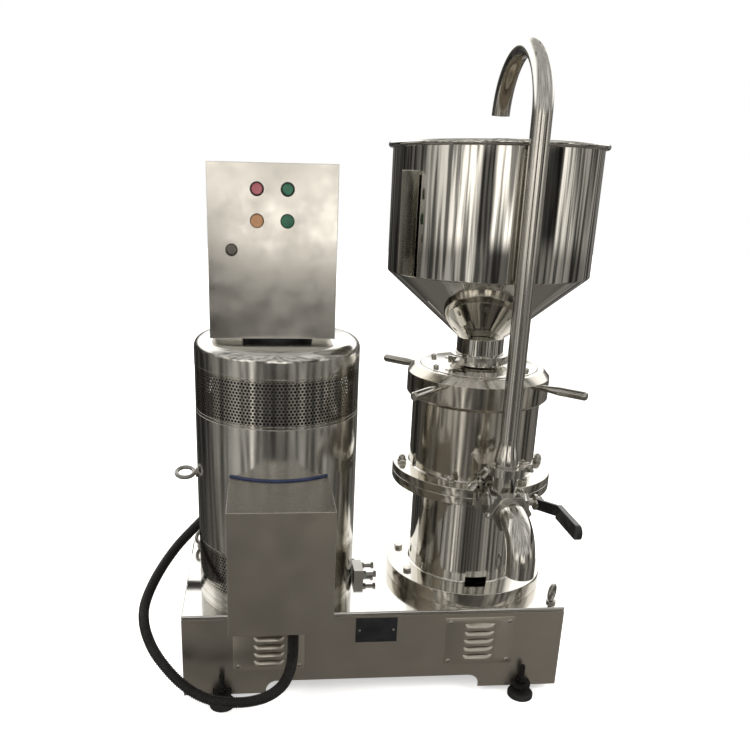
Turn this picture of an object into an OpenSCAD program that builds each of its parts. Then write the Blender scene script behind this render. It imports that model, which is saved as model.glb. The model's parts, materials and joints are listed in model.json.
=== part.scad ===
// Split vertical colloid mill: belt-driven grinding head beside a covered motor on one base.
// Millimetres. Z is up, the front with the outlet valve faces -Y, the mill stands at +X.

/* [Layout] */
// distance between the motor axis and the mill axis
axis_span = 475; // [460:5:500]

/* [Base] */
// length of the base box
base_length = 900; // [890:5:920]
// width of the base box, front to rear
base_width = 396; // [390:2:404]
// height of the base top above the floor
base_top = 232; // [228:2:240]
// lower edge of the base walls above the floor
base_floor = 20; // [18:1:24]
// thickness of the base top plate
plate_t = 10; // [8:1:12]
// thickness of the base wall sheet
skin_t = 3; // [2:0.5:4]
// length of each leg left by the cut-out in the long walls
leg_length = 193; // [180:1:200]
// height of the cut-out in the long walls
cut_height = 33; // [26:1:40]
// width of a louvred access panel
panel_w = 166; // [160:2:172]
// height of a louvred access panel
panel_h = 126; // [120:2:132]
// radius of a foot pad
pad_r = 30; // [26:1:34]
// width of the blank nameplate
plate_w = 98; // [90:2:104]
// height of the blank nameplate
plate_h = 64; // [56:2:68]

/* [Motor side] */
// radius of the motor cover
cover_r = 190; // [186:1:194]
// height of the top of the motor cover above the floor
cover_top = 842; // [836:2:850]
// thickness of the motor cover sheet
cover_t = 2; // [1.5:0.5:3]
// radius of the rounded upper edge of the cover
cover_edge_r = 24; // [18:2:30]
// lower edge of the lower vent band
vent_low_z = 250; // [246:1:256]
// lower edge of the upper vent band
vent_high_z = 673; // [664:1:680]
// height of a vent band
vent_h = 111; // [106:1:116]
// holes round a vent band
vent_columns = 40; // [24:4:44]
// rows of holes in a vent band
vent_rows = 5; // [3:1:6]
// radius of a vent hole
vent_hole_r = 6; // [4:0.5:7]
// width of the terminal box
term_w = 220; // [210:2:230]
// lower edge of the terminal box
term_z = 278; // [270:2:284]
// height of the terminal box
term_h = 279; // [270:1:290]
// reach of the terminal box in front of the motor axis
term_reach = 357; // [345:1:365]

/* [Control box] */
// width of the control box
box_w = 270; // [264:2:276]
// height of the control box
box_h = 360; // [350:2:366]
// depth of the control box with its door
box_d = 190; // [180:2:196]
// depth of the door pan
door_d = 17; // [15:1:20]
// radius of a push-button bezel
bezel_r = 14.6; // [14:0.2:16]
// travel of a push-button
press = 4; // [3:0.5:5]

/* [Mill] */
// radius of the base flange
foot_flange_r = 192; // [188:1:196]
// thickness of the base flange
foot_flange_t = 36; // [32:1:40]
// radius of the lower column
column_r = 135; // [130:1:138]
// radius of the bolted middle flanges
mid_r = 190; // [187:1:193]
// lower face of the middle flanges
mid_z = 490; // [486:1:494]
// thickness of each middle flange
mid_t = 20; // [18:1:22]
// radius of the grinding housing
body_r = 149; // [146:1:152]
// lower edge of the adjusting ring
ring_z = 700; // [696:1:704]
// height of the adjusting ring
ring_h = 75; // [70:1:80]
// radius of the adjusting ring
ring_r = 165; // [161:1:169]
// reach of the ring handles from the mill axis
handle_reach = 270; // [262:1:276]
// grinding gap between rotor and stator
grind_gap = 0.8; // [0.6:0.1:1.2]

/* [Hopper] */
// radius of the hopper cylinder
hopper_r = 225; // [220:1:230]
// top of the hopper cone
cone_top = 990; // [980:2:1000]
// top of the hopper cylinder
hopper_top = 1258; // [1248:2:1266]
// thickness of the hopper sheet
hopper_t = 2; // [1.5:0.5:3]
// radius of the rolled bead at the hopper mouth
bead_r = 6; // [5:0.5:7]

/* [Outlet and recirculation] */
// distance of the valve in front of the mill axis
valve_reach = 268; // [264:1:274]
// height of the valve axis
valve_z = 535; // [533:1:538]
// outside radius of the outlet elbow
elbow_r = 29; // [27:0.5:30]
// bend radius of the outlet elbow
elbow_bend = 76; // [70:1:80]
// outside radius of the recirculation pipe
pipe_r = 19; // [17:0.5:20]
// height of the centre of the pipe bend
pipe_bend_z = 1303; // [1296:1:1312]
// bend radius of the recirculation pipe
pipe_bend = 132; // [124:1:138]
// wall of the tubes
tube_t = 2; // [1.5:0.5:2.5]

/* [Fits] */
// running clearance of a shaft in its bore, on the radius
run_gap = 0.05; // [0.03:0.01:0.08]
// clearance of a fastener in its hole, on the radius
hole_gap = 0.2; // [0.1:0.05:0.3]
// gap between neighbouring parts that move past each other
free_gap = 0.4; // [0.3:0.1:0.6]

/* [Hidden] */
$fn = 48;

steel = [0.78, 0.77, 0.74];
satin = [0.68, 0.67, 0.64];
black = [0.08, 0.08, 0.08];
iron = [0.35, 0.36, 0.38];

motor_x = -axis_span / 2;
mill_x = axis_span / 2;

// base
base_shift = -10;
base_x0 = base_shift - base_length / 2;
base_x1 = base_shift + base_length / 2;
base_y = base_width / 2;
skin_top = base_top - plate_t;
panel_t = 2;
panel_z = 149;
panel_xs = [-260, 238];
panel_screw_r = 2;
panel_head_r = 5;
panel_sx = 71;
panel_sz = 52;
louvre_n = 5;
louvre_w = 70;
louvre_pitch = 21;
louvre_r = 8;
tag_x = -9;
tag_z = 185;
tag_t = 1.2;
rivet_dx = 40;
rivet_r = 1.6;
foot_dx = 360;
stud_r = 6;
stud_nut_r = 11;
stud_nut_t = 9;
stud_over = 46;
foot_off = 12;
foot_y = base_y + foot_off;
foot_xs = [base_shift - foot_dx, base_shift + foot_dx];
pad_h = 14;
pad_edge = 3;
lug_z = 29;
lug_t = 9;
lug_r = 22;
eye_bolt_r = 5;
eye_r = 17;
eye_wire = 5;
eye_turn = 50;
eye_spots = [[base_x1 - 25, -base_y + 26], [base_x0 + 23, base_y - 32]];
eye_collar_r = 11;
eye_collar_h = 6;
big_eye_r = 21;
big_eye_bolt_r = 6;
big_eye_z = 508;
big_eye_collar = 4;
big_eye_collar_r = 12;

// motor and drive
motor_flange_r = 175;
motor_flange_t = 18;
motor_foot_r = 128;
motor_foot_h = 60;
motor_body_r = 146;
motor_wall = 18;
motor_cap_t = 15;
motor_body_top = cover_top - 152;
motor_bolt_pcr = 152;
motor_bolt_as = [45 : 90 : 315];
motor_cavity_r = motor_body_r - motor_wall;
winding_t = 40;
winding_z0 = base_top + motor_foot_h + 2 * motor_wall;
winding_z1 = motor_body_top - 50;
core_gap = 2;
fin_n = 24;
fin_h = 16;
fin_t = 4;
cowl_r = motor_body_r + 2;
cowl_t = 3;
cowl_eye_r = 70;
cowl_top = cover_top - 42;
shaft_r = 22;
shaft_seat_r = 19;
shaft_end = 14;
shaft_nut_r = 26;
shaft_nut_t = 10;
bolt_r = 6;
bolt_head_r = 11;
bolt_head_h = 8;
tension_room = axis_span - cover_r - foot_flange_r;
tension_t = tension_room / 4;
tension_l = 0.58 * tension_room;
tension_h = 30;
tension_z = 17;
tension_ys = [-45, 0];
tension_edge = 8;
tension_screw_r = 5;
tension_nut_r = 9;
tension_nut_t = 6;
pulley_z0 = 96;
pulley_z1 = 160;
pulley_r = 72;
belt_n = 3;
belt_pitch = 20;
belt_w = 12;
belt_t = 9;
belt_drop = 2;
groove_gap = 0.5;
fan_z = motor_body_top + 30;
fan_r = 110;
fan_hub_r = 34;
fan_hub_h = 12;
fan_disc_t = 4;
fan_h = 40;

// control box
box_x = motor_x - 12.5;
box_z = cover_top + 10;
box_y0 = -box_d / 2;
box_sheet = 2;
door_gap = 3;
shell_y0 = box_y0 + door_d + door_gap;
hinge_x = box_x + box_w / 2 - 6;
hinge_y = box_y0 + 9;
hinge_pin_r = 2.5;
gear_post = 6;
gear_plate = 3;
gear_edge = 20;
clamp_n = 10;
clamp_pitch = 19;
button_dx = 31.5;
button_x = box_x - 1.5;
button_z1 = box_z + 309;
button_z2 = box_z + 246;
barrel_r = 12;
barrel_l = 40;
barrel_nut_r = 16;
cap_r = 11;
cap_l = 24;
lock_x = box_x - 86;
lock_z = box_z + 187;
lock_r = 9;

// mill
drain_w = 52;
drain_h = 15;
column_wall = 8;
plate_bore = 100;
cartridge_r = 120;
cartridge_t = 10;
sleeve_hole = 80;
seal_r = 42;
foot_top = base_top + foot_flange_t;
mid_top = mid_z + 2 * mid_t;
foot_bolt_pcr = 167;
foot_bolt_as = [22.5, 157.5, 202.5, 337.5];
mid_bolt_pcr = 170;
spigot_r = 140;
spigot_top = ring_z + 52;
cover_plate_r = 135;
cover_plate_top = ring_z + ring_h + 1;
cover_screw_pcr = 118;
cover_screw_as = [20 : 60 : 320];
cover_screw_r = 4;
mid_bolt_as = [0 : 60 : 300];
stator_r = 105;
stator_z0 = 562;
stator_z1 = 690;
chamber_r = 92;
rotor_z0 = 572;
rotor_z1 = 672;
rotor_r0 = 80;
rotor_r1 = 56;
spindle_r = 25;
spindle_top_r = 18;
slinger_r = 38;
slinger_t = 22;
bearing_h = 25;
sleeve_r = 62;
sleeve_bore = 45;
neck_r = 54;
neck_ferrule_r = 60;
ferrule_t = 6;
lip = 3;
clamp_wall = 6;
neck_joint = cover_plate_top + 18;
neck_top = 842;
handle_z = ring_z + 48;
handle_as = [135, 225, 315];
handle_r = 10;
handle_screw_r = 5;

// outlet
valve_y = -valve_reach;
port_r = 26;
port_bore = 23;
tube_ferrule_r = 32;
barrel_body_r = 34;
out_plate_y = valve_y + 58;
out_joint_y = valve_y + 46;
top_joint_z = valve_z + 77;
box_half = 42;
out_wall = 3;
plug_r = 27;
spigot_thread_r = 32;
union_r = 43;
union_seat = valve_y - 50;
nut_y0 = union_seat + 10;
elbow_start = valve_y - 66;
elbow_drop = 20;
reducer_z0 = top_joint_z + 10;
reducer_z1 = reducer_z0 + 56;
pipe_sweep = 173;
stem_r = 8;
lever_x = mill_x + 69;
lever_t = 6;
lever_h = 24;
lever_bend = 32;
lever_tip = valve_y - 167;

// row frame: the box around everything but the conduit is centred on the origin
box_x0 = min(base_x0, motor_x - cover_r - big_eye_collar - free_gap - 2 * (big_eye_r + eye_wire) + 1);
box_x1 = max(base_x1, mill_x + hopper_r + 5 + bead_r);
box_ya = min(-foot_y - pad_r, elbow_start - elbow_bend - elbow_r);
box_yb = max(foot_y + pad_r, hopper_r + 5 + bead_r);
shift_x = -(box_x0 + box_x1) / 2;
shift_y = -(box_ya + box_yb) / 2;

// conduit route, from the terminal box to the rear of the control box
conduit_r = 12.5;
gland_r = 17;
gland_h = 20;
gland_x = motor_x + 28;
gland_y = -300;
rear_gland_z = 930;
route = [[gland_x, gland_y, term_z - gland_h], [gland_x, gland_y, 200], [-216, -300, 150], [-236, -299, 108],
  [-276, -296, 78], [-335, -290, 65], [-400, -278, 69], [-456, -256, 93], [-503, -225, 130],
  [-533, -188, 158], [-552, -140, 185], [-554, -85, 208], [-532, -20, 244], [-492, 45, 285],
  [-442, 105, 320], [-390, 160, 354], [-335, 200, 396], [-285, 224, 450], [-258, 232, 520],
  [-250, 232, 610], [-250, 232, 710], [-250, 230, 800], [-250, 220, 855], [-250, 196, 897],
  [-250, 160, 923], [box_x, box_d / 2 + gland_h, rear_gland_z]];

// placing helpers
module put() {
  translate([shift_x, shift_y, 0]) children();
}
module at_motor() {
  put() translate([motor_x, 0, 0]) children();
}
module at_mill() {
  put() translate([mill_x, 0, 0]) children();
}
// cylinder along +X and along +Y from the given point
module xrod(p, r, h) {
  translate(p) rotate([0, 90, 0]) cylinder(r = r, h = h);
}
module yrod(p, r, h) {
  translate(p) rotate([-90, 0, 0]) cylinder(r = r, h = h);
}
module block(a, b) {
  translate(a) cube(b - a);
}
module tube(r0, r1, z0, z1) {
  translate([0, 0, z0]) difference() {
    cylinder(r = r1, h = z1 - z0);
    translate([0, 0, -1]) cylinder(r = r0, h = z1 - z0 + 2);
  }
}
module disc(r, z0, z1) {
  translate([0, 0, z0]) cylinder(r = r, h = z1 - z0);
}
module hexagon(r, z0, z1) {
  translate([0, 0, z0]) cylinder(r = r, h = z1 - z0, $fn = 6);
}
// everything beyond the given turn about Z
module ring_of(as) {
  for (a = as) rotate([0, 0, a]) children();
}

// outline of a long wall: legs at both ends, the cut-out between them with round upper corners
module wall_cut() {
  w = base_length - 2 * leg_length;
  r = 26;
  translate([base_shift, 0, base_floor]) rotate([90, 0, 0])
    linear_extrude(height = 2 * base_width, center = true) union() {
      translate([-w / 2, -1]) square([w, cut_height - r + 1]);
      translate([-w / 2 + r, -1]) square([w - 2 * r, cut_height + 1]);
      for (s = [-1, 1]) translate([s * (w / 2 - r), cut_height - r]) circle(r = r);
    }
}
module base_plate() {
  color(steel) put() difference() {
    block([base_x0, -base_y, skin_top], [base_x1, base_y, base_top]);
    translate([motor_x, 0, 0]) disc(60, skin_top - 1, base_top + 1);
    translate([mill_x, 0, 0]) disc(plate_bore, skin_top - 1, base_top + 1);
    translate([motor_x, 0, 0]) ring_of(motor_bolt_as) translate([motor_bolt_pcr, 0, 0])
      disc(bolt_r + hole_gap, skin_top - 1, base_top + 1);
    translate([mill_x, 0, 0]) ring_of(foot_bolt_as) translate([foot_bolt_pcr, 0, 0])
      disc(bolt_r + hole_gap, skin_top - 1, base_top + 1);
    for (e = eye_spots) translate([e[0], e[1], 0]) disc(eye_bolt_r + run_gap, skin_top - 1, base_top + 1);
    for (p = [[-36, 68], [-38, 100]]) translate([p[0], p[1], 0]) disc(5, skin_top - 1, base_top + 1);
  }
}
module base_skin() {
  color(satin) put() difference() {
    block([base_x0, -base_y, base_floor], [base_x1, base_y, skin_top]);
    block([base_x0 + skin_t, -base_y + skin_t, base_floor - 1],
      [base_x1 - skin_t, base_y - skin_t, skin_top + 1]);
    wall_cut();
    for (x = panel_xs) {
      block([x - 60, -base_y - 1, panel_z - 44], [x + 60, -base_y + skin_t + 1, panel_z + 44]);
      for (i = [-1, 1], k = [-1, 1])
        yrod([x + i * panel_sx, -base_y - 1, panel_z + k * panel_sz], panel_screw_r + hole_gap, skin_t + 2);
    }
    for (s = [-1, 1]) yrod([tag_x + s * rivet_dx, -base_y - 1, tag_z], rivet_r + hole_gap, skin_t + 2);
  }
}
// welded inner frame: corner posts and two long rails under the top plate
module base_frame() {
  x0 = base_x0 + skin_t;
  x1 = base_x1 - skin_t;
  y1 = base_y - skin_t;
  s = 36;
  color(iron) put() union() {
    for (x = [x0, x1 - s], y = [-y1, y1 - s]) difference() {
      block([x, y, base_floor], [x + s, y + s, skin_top]);
      block([x + 3, y + 3, base_floor - 1], [x + s - 3, y + s - 3, skin_top - s - 2]);
    }
    for (y = [-y1, y1 - s]) difference() {
      block([x0, y, skin_top - s], [x1, y + s, skin_top]);
      block([x0 + s + 3, y + 3, skin_top - s + 3], [x1 - s - 3, y + s - 3, skin_top - 3]);
    }
  }
}
// pressed louvre: a quarter-round hood over a slot, open downwards
module louvre_hood() {
  rotate([0, 90, 0]) difference() {
    translate([0, 0, -louvre_w / 2]) cylinder(r = louvre_r, h = louvre_w);
    translate([0, 0, -louvre_w / 2 + 1.5]) cylinder(r = louvre_r - 1.5, h = louvre_w - 3);
    translate([0, 0, -louvre_w]) cube([4 * louvre_r, 4 * louvre_r, 2 * louvre_w]);
    translate([-2 * louvre_r, 0, -louvre_w]) cube([4 * louvre_r, 4 * louvre_r, 2 * louvre_w]);
    translate([0, -2 * louvre_r, -louvre_w]) cube([4 * louvre_r, 4 * louvre_r, 2 * louvre_w]);
  }
}
module access_panels() {
  color(satin) put() for (x = panel_xs) translate([x, -base_y, panel_z]) union() {
    difference() {
      block([-panel_w / 2, -panel_t, -panel_h / 2], [panel_w / 2, 0, panel_h / 2]);
      for (i = [0 : louvre_n - 1])
        block([-louvre_w / 2 + 1.5, -panel_t - 1, (i - 2) * louvre_pitch - 4],
          [louvre_w / 2 - 1.5, 1, (i - 2) * louvre_pitch + louvre_r - 2]);
      for (i = [-1, 1], k = [-1, 1])
        yrod([i * panel_sx, -panel_t - 1, k * panel_sz], panel_screw_r + hole_gap, panel_t + 2);
    }
    for (i = [0 : louvre_n - 1]) translate([0, -panel_t, (i - 2) * louvre_pitch]) louvre_hood();
  }
}
module panel_screws() {
  color(steel) put() for (x = panel_xs, i = [-1, 1], k = [-1, 1])
    translate([x + i * panel_sx, -base_y - panel_t, panel_z + k * panel_sz]) rotate([-90, 0, 0]) union() {
      disc(panel_screw_r, 0, panel_t + skin_t);
      disc(panel_head_r, -2.4, 0);
      translate([0, 0, -3.4]) cylinder(r1 = panel_head_r - 1.6, r2 = panel_head_r, h = 1);
    }
}
module nameplate() {
  color(black) put() translate([tag_x, -base_y, tag_z]) {
    difference() {
      block([-plate_w / 2, -tag_t, -plate_h / 2], [plate_w / 2, 0, plate_h / 2]);
      for (s = [-1, 1]) yrod([s * rivet_dx, -tag_t - 1, 0], rivet_r + hole_gap, tag_t + 2);
    }
    for (s = [-1, 1]) translate([s * rivet_dx, -tag_t, 0]) rotate([-90, 0, 0]) union() {
      disc(rivet_r, 0, tag_t + skin_t + 1);
      translate([0, 0, -1]) cylinder(r1 = 1.8, r2 = 3, h = 1);
    }
  }
}
module feet() {
  put() for (x = foot_xs, s = [-1, 1]) translate([x, s * foot_y, 0]) mirror([0, 1 - max(s, 0), 0])
    children();
}
module foot_lugs() {
  color(black) feet() difference() {
    union() {
      disc(lug_r, lug_z, lug_z + lug_t);
      block([-lug_r, -foot_off, lug_z], [lug_r, 0, lug_z + lug_t]);
    }
    disc(stud_r + hole_gap, lug_z - 1, lug_z + lug_t + 1);
    block([-2 * lug_r, -2 * lug_r, lug_z - 1], [2 * lug_r, -foot_off, lug_z + lug_t + 1]);
  }
}
module levelling_screws() {
  color(black) feet() union() {
    disc(stud_r, pad_h, lug_z + lug_t + stud_over);
    hexagon(stud_nut_r, lug_z - stud_nut_t, lug_z);
    hexagon(stud_nut_r, lug_z + lug_t, lug_z + lug_t + stud_nut_t);
  }
}
module foot_pads() {
  color(black) feet() union() {
    disc(pad_r, 0, pad_h - pad_edge);
    translate([0, 0, pad_h - pad_edge]) cylinder(r1 = pad_r, r2 = pad_r - pad_edge - 1, h = pad_edge);
  }
}
// eye bolt: shank down from z = 0, collar, ring standing in the XZ plane
module eye_bolt(rs, shank, collar_r, collar_h, ro, wire) {
  union() {
    disc(rs, -shank, collar_h);
    disc(collar_r, 0, collar_h);
    translate([0, 0, collar_h + ro + wire - 1]) rotate([90, 0, 0]) rotate_extrude()
      translate([ro, 0]) circle(r = wire);
  }
}
module lifting_eyes() {
  color(steel) put() {
    for (e = eye_spots) translate([e[0], e[1], base_top]) rotate([0, 0, eye_turn])
      eye_bolt(eye_bolt_r, plate_t, eye_collar_r, eye_collar_h, eye_r, eye_wire);
    translate([motor_x - cover_r - free_gap, 0, big_eye_z]) rotate([0, -90, 0]) rotate([0, 0, 75])
      eye_bolt(big_eye_bolt_r, cover_r - motor_body_r, big_eye_collar_r, big_eye_collar, big_eye_r,
        eye_wire);
  }
}
// fixed block beside the cover with the two screws that set the belt tension
module belt_tensioner() {
  x0 = motor_x + cover_r + 1;
  z = base_top + tension_z;
  color(iron) put() {
    difference() {
      block([x0, tension_ys[0] - tension_edge, base_top],
        [x0 + tension_t, tension_ys[1] + tension_edge, base_top + tension_h]);
      for (y = tension_ys) xrod([x0 - 1, y, z], tension_screw_r + hole_gap, tension_t + 5);
    }
    for (y = tension_ys) translate([x0 + 1, y, z]) rotate([0, 90, 0]) union() {
      disc(tension_screw_r, 0, tension_l);
      hexagon(tension_nut_r, tension_t - 1, tension_t + tension_nut_t);
      hexagon(tension_nut_r, tension_l - tension_nut_t, tension_l);
    }
  }
}
module motor_housing() {
  body_z0 = base_top + motor_foot_h;
  color(iron) at_motor() difference() {
    union() {
      disc(motor_flange_r, base_top, base_top + motor_flange_t);
      disc(motor_foot_r, base_top, body_z0 + 1);
      disc(motor_body_r, body_z0, motor_body_top + motor_cap_t);
      for (i = [0 : fin_n - 1]) rotate([0, 0, (i + 0.5) * 360 / fin_n])
        block([motor_body_r - 4, -fin_t / 2, body_z0 + 10],
          [motor_body_r + fin_h, fin_t / 2, motor_body_top - 20]);
      block([-motor_body_r - fin_h, -fin_h, big_eye_z - fin_h],
        [-motor_body_r + 6, fin_h, big_eye_z + fin_h]);
      // fan cowl, open in the middle of its top
      tube(cowl_r - cowl_t, cowl_r, motor_body_top, cowl_top);
      tube(cowl_eye_r, cowl_r, cowl_top - cowl_t, cowl_top);
    }
    disc(motor_cavity_r, body_z0 + motor_wall, motor_body_top - 10);
    disc(shaft_r + run_gap, base_top - 1, motor_body_top + motor_cap_t + 1);
    ring_of(motor_bolt_as) translate([motor_bolt_pcr, 0, 0])
      disc(bolt_r + hole_gap, base_top - 1, base_top + motor_flange_t + 1);
    xrod([-motor_body_r - fin_h - 1, 0, big_eye_z], big_eye_bolt_r + run_gap, fin_h + motor_wall / 2);
  }
}
module motor_stator() {
  color([0.55, 0.4, 0.25]) at_motor()
    tube(motor_cavity_r - winding_t, motor_cavity_r, winding_z0, winding_z1);
}
// hex bolt with its nut, head underside at z = 0, nut face at z = -grip
module hex_bolt(grip) {
  union() {
    disc(bolt_r, -grip - 14, 0.5);
    hexagon(bolt_head_r, 0, bolt_head_h);
    hexagon(bolt_head_r, -grip - 10, -grip);
  }
}
module base_bolts() {
  color(steel) {
    at_motor() ring_of(motor_bolt_as) translate([motor_bolt_pcr, 0, base_top + motor_flange_t])
      hex_bolt(motor_flange_t + plate_t);
    at_mill() ring_of(foot_bolt_as) translate([foot_bolt_pcr, 0, foot_top])
      hex_bolt(foot_flange_t + plate_t);
  }
}
module cover_shell(r, top, e) {
  rotate_extrude() union() {
    square([r, top - e]);
    square([r - e, top]);
    translate([r - e, top - e]) circle(r = e);
  }
}
module motor_cover() {
  color(steel) at_motor() difference() {
    cover_shell(cover_r, cover_top, cover_edge_r);
    cover_shell(cover_r - cover_t, cover_top - cover_t, cover_edge_r - cover_t);
    translate([0, 0, -1]) cylinder(r = cover_r + 5, h = base_top + 1);
    for (z = [vent_low_z, vent_high_z]) disc(cover_r + 5, z, z + vent_h);
    xrod([-cover_r - 9, 0, big_eye_z], big_eye_bolt_r + free_gap, 20);
    yrod([0, -cover_r - 9, term_z + 150], 16, 20);
  }
}
module vent_band(z) {
  dz = vent_h / (vent_rows + 0.5);
  color(iron) at_motor() difference() {
    tube(cover_r - cover_t, cover_r, z, z + vent_h);
    for (i = [0 : vent_columns - 1], k = [0 : vent_rows - 1])
      rotate([0, 0, (i + (k % 2) / 2) * 360 / vent_columns])
        xrod([cover_r - cover_t - 8, 0, z + (k + 0.75) * dz], vent_hole_r, 20);
  }
}
module upper_vent_band() {
  vent_band(vent_high_z);
}
module lower_vent_band() {
  vent_band(vent_low_z);
}
module terminal_box() {
  t = 2;
  color(satin) at_motor() difference() {
    block([-term_w / 2, -term_reach, term_z], [term_w / 2, -80, term_z + term_h]);
    block([-term_w / 2 + t, -term_reach + t, term_z + t], [term_w / 2 - t, -70, term_z + term_h - t]);
    disc(cover_r + run_gap, term_z - 1, term_z + term_h + 1);
    translate([gland_x - motor_x, gland_y, 0]) disc(11 + hole_gap, term_z - 1, term_z + t + 1);
  }
}
// coloured strip along the curved seam on top of the terminal box
module edge_trim() {
  a = asin((term_w / 2 - 1) / (cover_r + 4));
  color([0.14, 0.2, 0.4]) at_motor() translate([0, 0, term_z + term_h]) rotate([0, 0, -90 - a])
    rotate_extrude(angle = 2 * a, $fn = 96)
      polygon([[cover_r + run_gap, 0], [cover_r + 4, 0], [cover_r + 3, 4], [cover_r + run_gap, 4]]);
}
// conduit gland: body below z = 0 outside, threaded tail and lock nut above the sheet inside
module gland(sheet) {
  difference() {
    union() {
      disc(gland_r - 2, -gland_h, 0);
      hexagon(gland_r, -10, 0);
      disc(11, 0, sheet + 8);
      hexagon(gland_r - 1, sheet, sheet + 5);
    }
    disc(8, -gland_h - 1, sheet + 9);
  }
}
module cable_glands() {
  color(black) put() {
    translate([gland_x, gland_y, term_z]) gland(2);
    translate([box_x, box_d / 2, rear_gland_z]) rotate([90, 0, 0]) gland(box_sheet);
  }
}
// smooth tube along the route
function wrap(i, n) = min(max(i, 0), n - 1);
function bend_pt(p0, p1, p2, p3, t) =
  0.5 * (2 * p1 + (p2 - p0) * t + (2 * p0 - 5 * p1 + 4 * p2 - p3) * t * t
    + (3 * p1 - p0 - 3 * p2 + p3) * t * t * t);
function smooth(r, k) = let (n = len(r)) concat([for (i = [0 : n - 2], j = [0 : k - 1])
  bend_pt(r[wrap(i - 1, n)], r[i], r[i + 1], r[wrap(i + 2, n)], j / k)], [r[n - 1]]);
function unit(v) = v / norm(v);
function heading(c, i) = i == 0 ? [0, 0, -1] : i == len(c) - 1 ? [0, -1, 0] : unit(c[i + 1] - c[i - 1]);
function carry(u, d) = unit(u - (u * d) * d);
function sides(c, i = 0, u = [1, 0, 0], acc = []) = i == len(c) ? acc :
  let (w = carry(u, heading(c, i))) sides(c, i + 1, w, concat(acc, [w]));
module conduit() {
  c = smooth(route, 2);
  n = len(c);
  m = 10;
  us = sides(c);
  pts = [for (i = [0 : n - 1], j = [0 : m - 1]) let (v = cross(heading(c, i), us[i]))
    c[i] + conduit_r * (cos(36 * j) * us[i] + sin(36 * j) * v)];
  walls = [for (i = [0 : n - 2], j = [0 : m - 1])
    [i * m + j, (i + 1) * m + j, (i + 1) * m + (j + 1) % m, i * m + (j + 1) % m]];
  color(black) put() polyhedron(points = pts, convexity = 8, faces = concat(
    [[for (j = [0 : m - 1]) j]], walls, [[for (j = [0 : m - 1]) n * m - 1 - j]]));
}
module box_saddle() {
  color(iron) at_motor() tube(40, 80, cover_top, box_z);
}
module control_box() {
  t = box_sheet;
  x0 = box_x - box_w / 2;
  x1 = box_x + box_w / 2;
  z1 = box_z + box_h;
  color(satin) put() union() {
    difference() {
      block([x0, shell_y0, box_z], [x1, box_d / 2, z1]);
      block([x0 + t, shell_y0 + t, box_z + t], [x1 - t, box_d / 2 - t, z1 - t]);
      block([x0 + 14, shell_y0 - 1, box_z + 14], [x1 - t, shell_y0 + t + 1, z1 - 14]);
      yrod([box_x, box_d / 2 - t - 1, rear_gland_z], 11 + hole_gap, t + 2);
    }
    // hinge arms with their pins
    for (k = [0, 1]) translate([0, 0, k * (box_h - 12)]) {
      block([hinge_x - 3, shell_y0 + 4, box_z + 3], [x1 - t, shell_y0 + 24, box_z + 9]);
      block([hinge_x - 3, hinge_y, box_z + 3], [hinge_x + 3, shell_y0 + 24, box_z + 9]);
      translate([hinge_x, hinge_y, box_z]) disc(3, 3, 9);
      translate([hinge_x, hinge_y, box_z + 6 * k]) disc(hinge_pin_r, 0, 6);
    }
  }
}
// mounting plate on its posts with the contactor, the overload relay and the terminal rail
module control_gear() {
  y1 = box_d / 2 - box_sheet;
  y0 = y1 - gear_post;
  w = box_w / 2 - gear_edge;
  z0 = rear_gland_z - box_z + gland_r + 9;
  z1 = box_h - gear_edge;
  m = (z0 + z1) / 2;
  color([0.75, 0.72, 0.62]) put() translate([box_x, 0, box_z]) union() {
    block([-w, y0 - gear_plate, z0], [w, y0, z1]);
    for (x = [-w + 10, w - 10], z = [z0 + 10, z1 - 10]) yrod([x, y0 - 1, z], 5, gear_post + 1);
    // contactor, overload relay and transformer
    block([-w + 35, y0 - 69, m + 4], [-15, y0 - 2, z1 - 24]);
    block([-w + 39, y0 - 54, m - 56], [-19, y0 - 2, m + 5]);
    block([15, y0 - 54, m - 32], [w - 30, y0 - 2, z1 - 24]);
    // terminal rail with its clamps
    block([-w + 15, y0 - 34, z0 + 8], [w - 15, y0 - 2, z0 + 42]);
    for (i = [0 : clamp_n - 1])
      block([-w + 21 + clamp_pitch * i, y0 - 42, z0 + 12], [-w + 35 + clamp_pitch * i, y0 - 33, z0 + 38]);
  }
}
module pedestal() {
  color(steel) at_mill() difference() {
    union() {
      disc(foot_flange_r, base_top, foot_top);
      disc(column_r, base_top, mid_z + 5);
      disc(mid_r, mid_z, mid_z + mid_t);
    }
    disc(plate_bore, base_top - 1, foot_top + 1);
    disc(column_r - column_wall, foot_top, mid_z);
    disc(sleeve_hole, mid_z - 1, mid_z + mid_t + 1);
    disc(cartridge_r + free_gap, mid_z + mid_t - cartridge_t, mid_z + mid_t + 1);
    ring_of(foot_bolt_as) translate([foot_bolt_pcr, 0, 0])
      disc(bolt_r + hole_gap, base_top - 1, foot_top + 1);
    ring_of(mid_bolt_as) translate([mid_bolt_pcr, 0, 0])
      disc(bolt_r + hole_gap, mid_z - 1, mid_z + mid_t + 1);
    block([-drain_w / 2, -column_r - 5, foot_top], [drain_w / 2, -column_r + 30, foot_top + drain_h]);
  }
}
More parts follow.
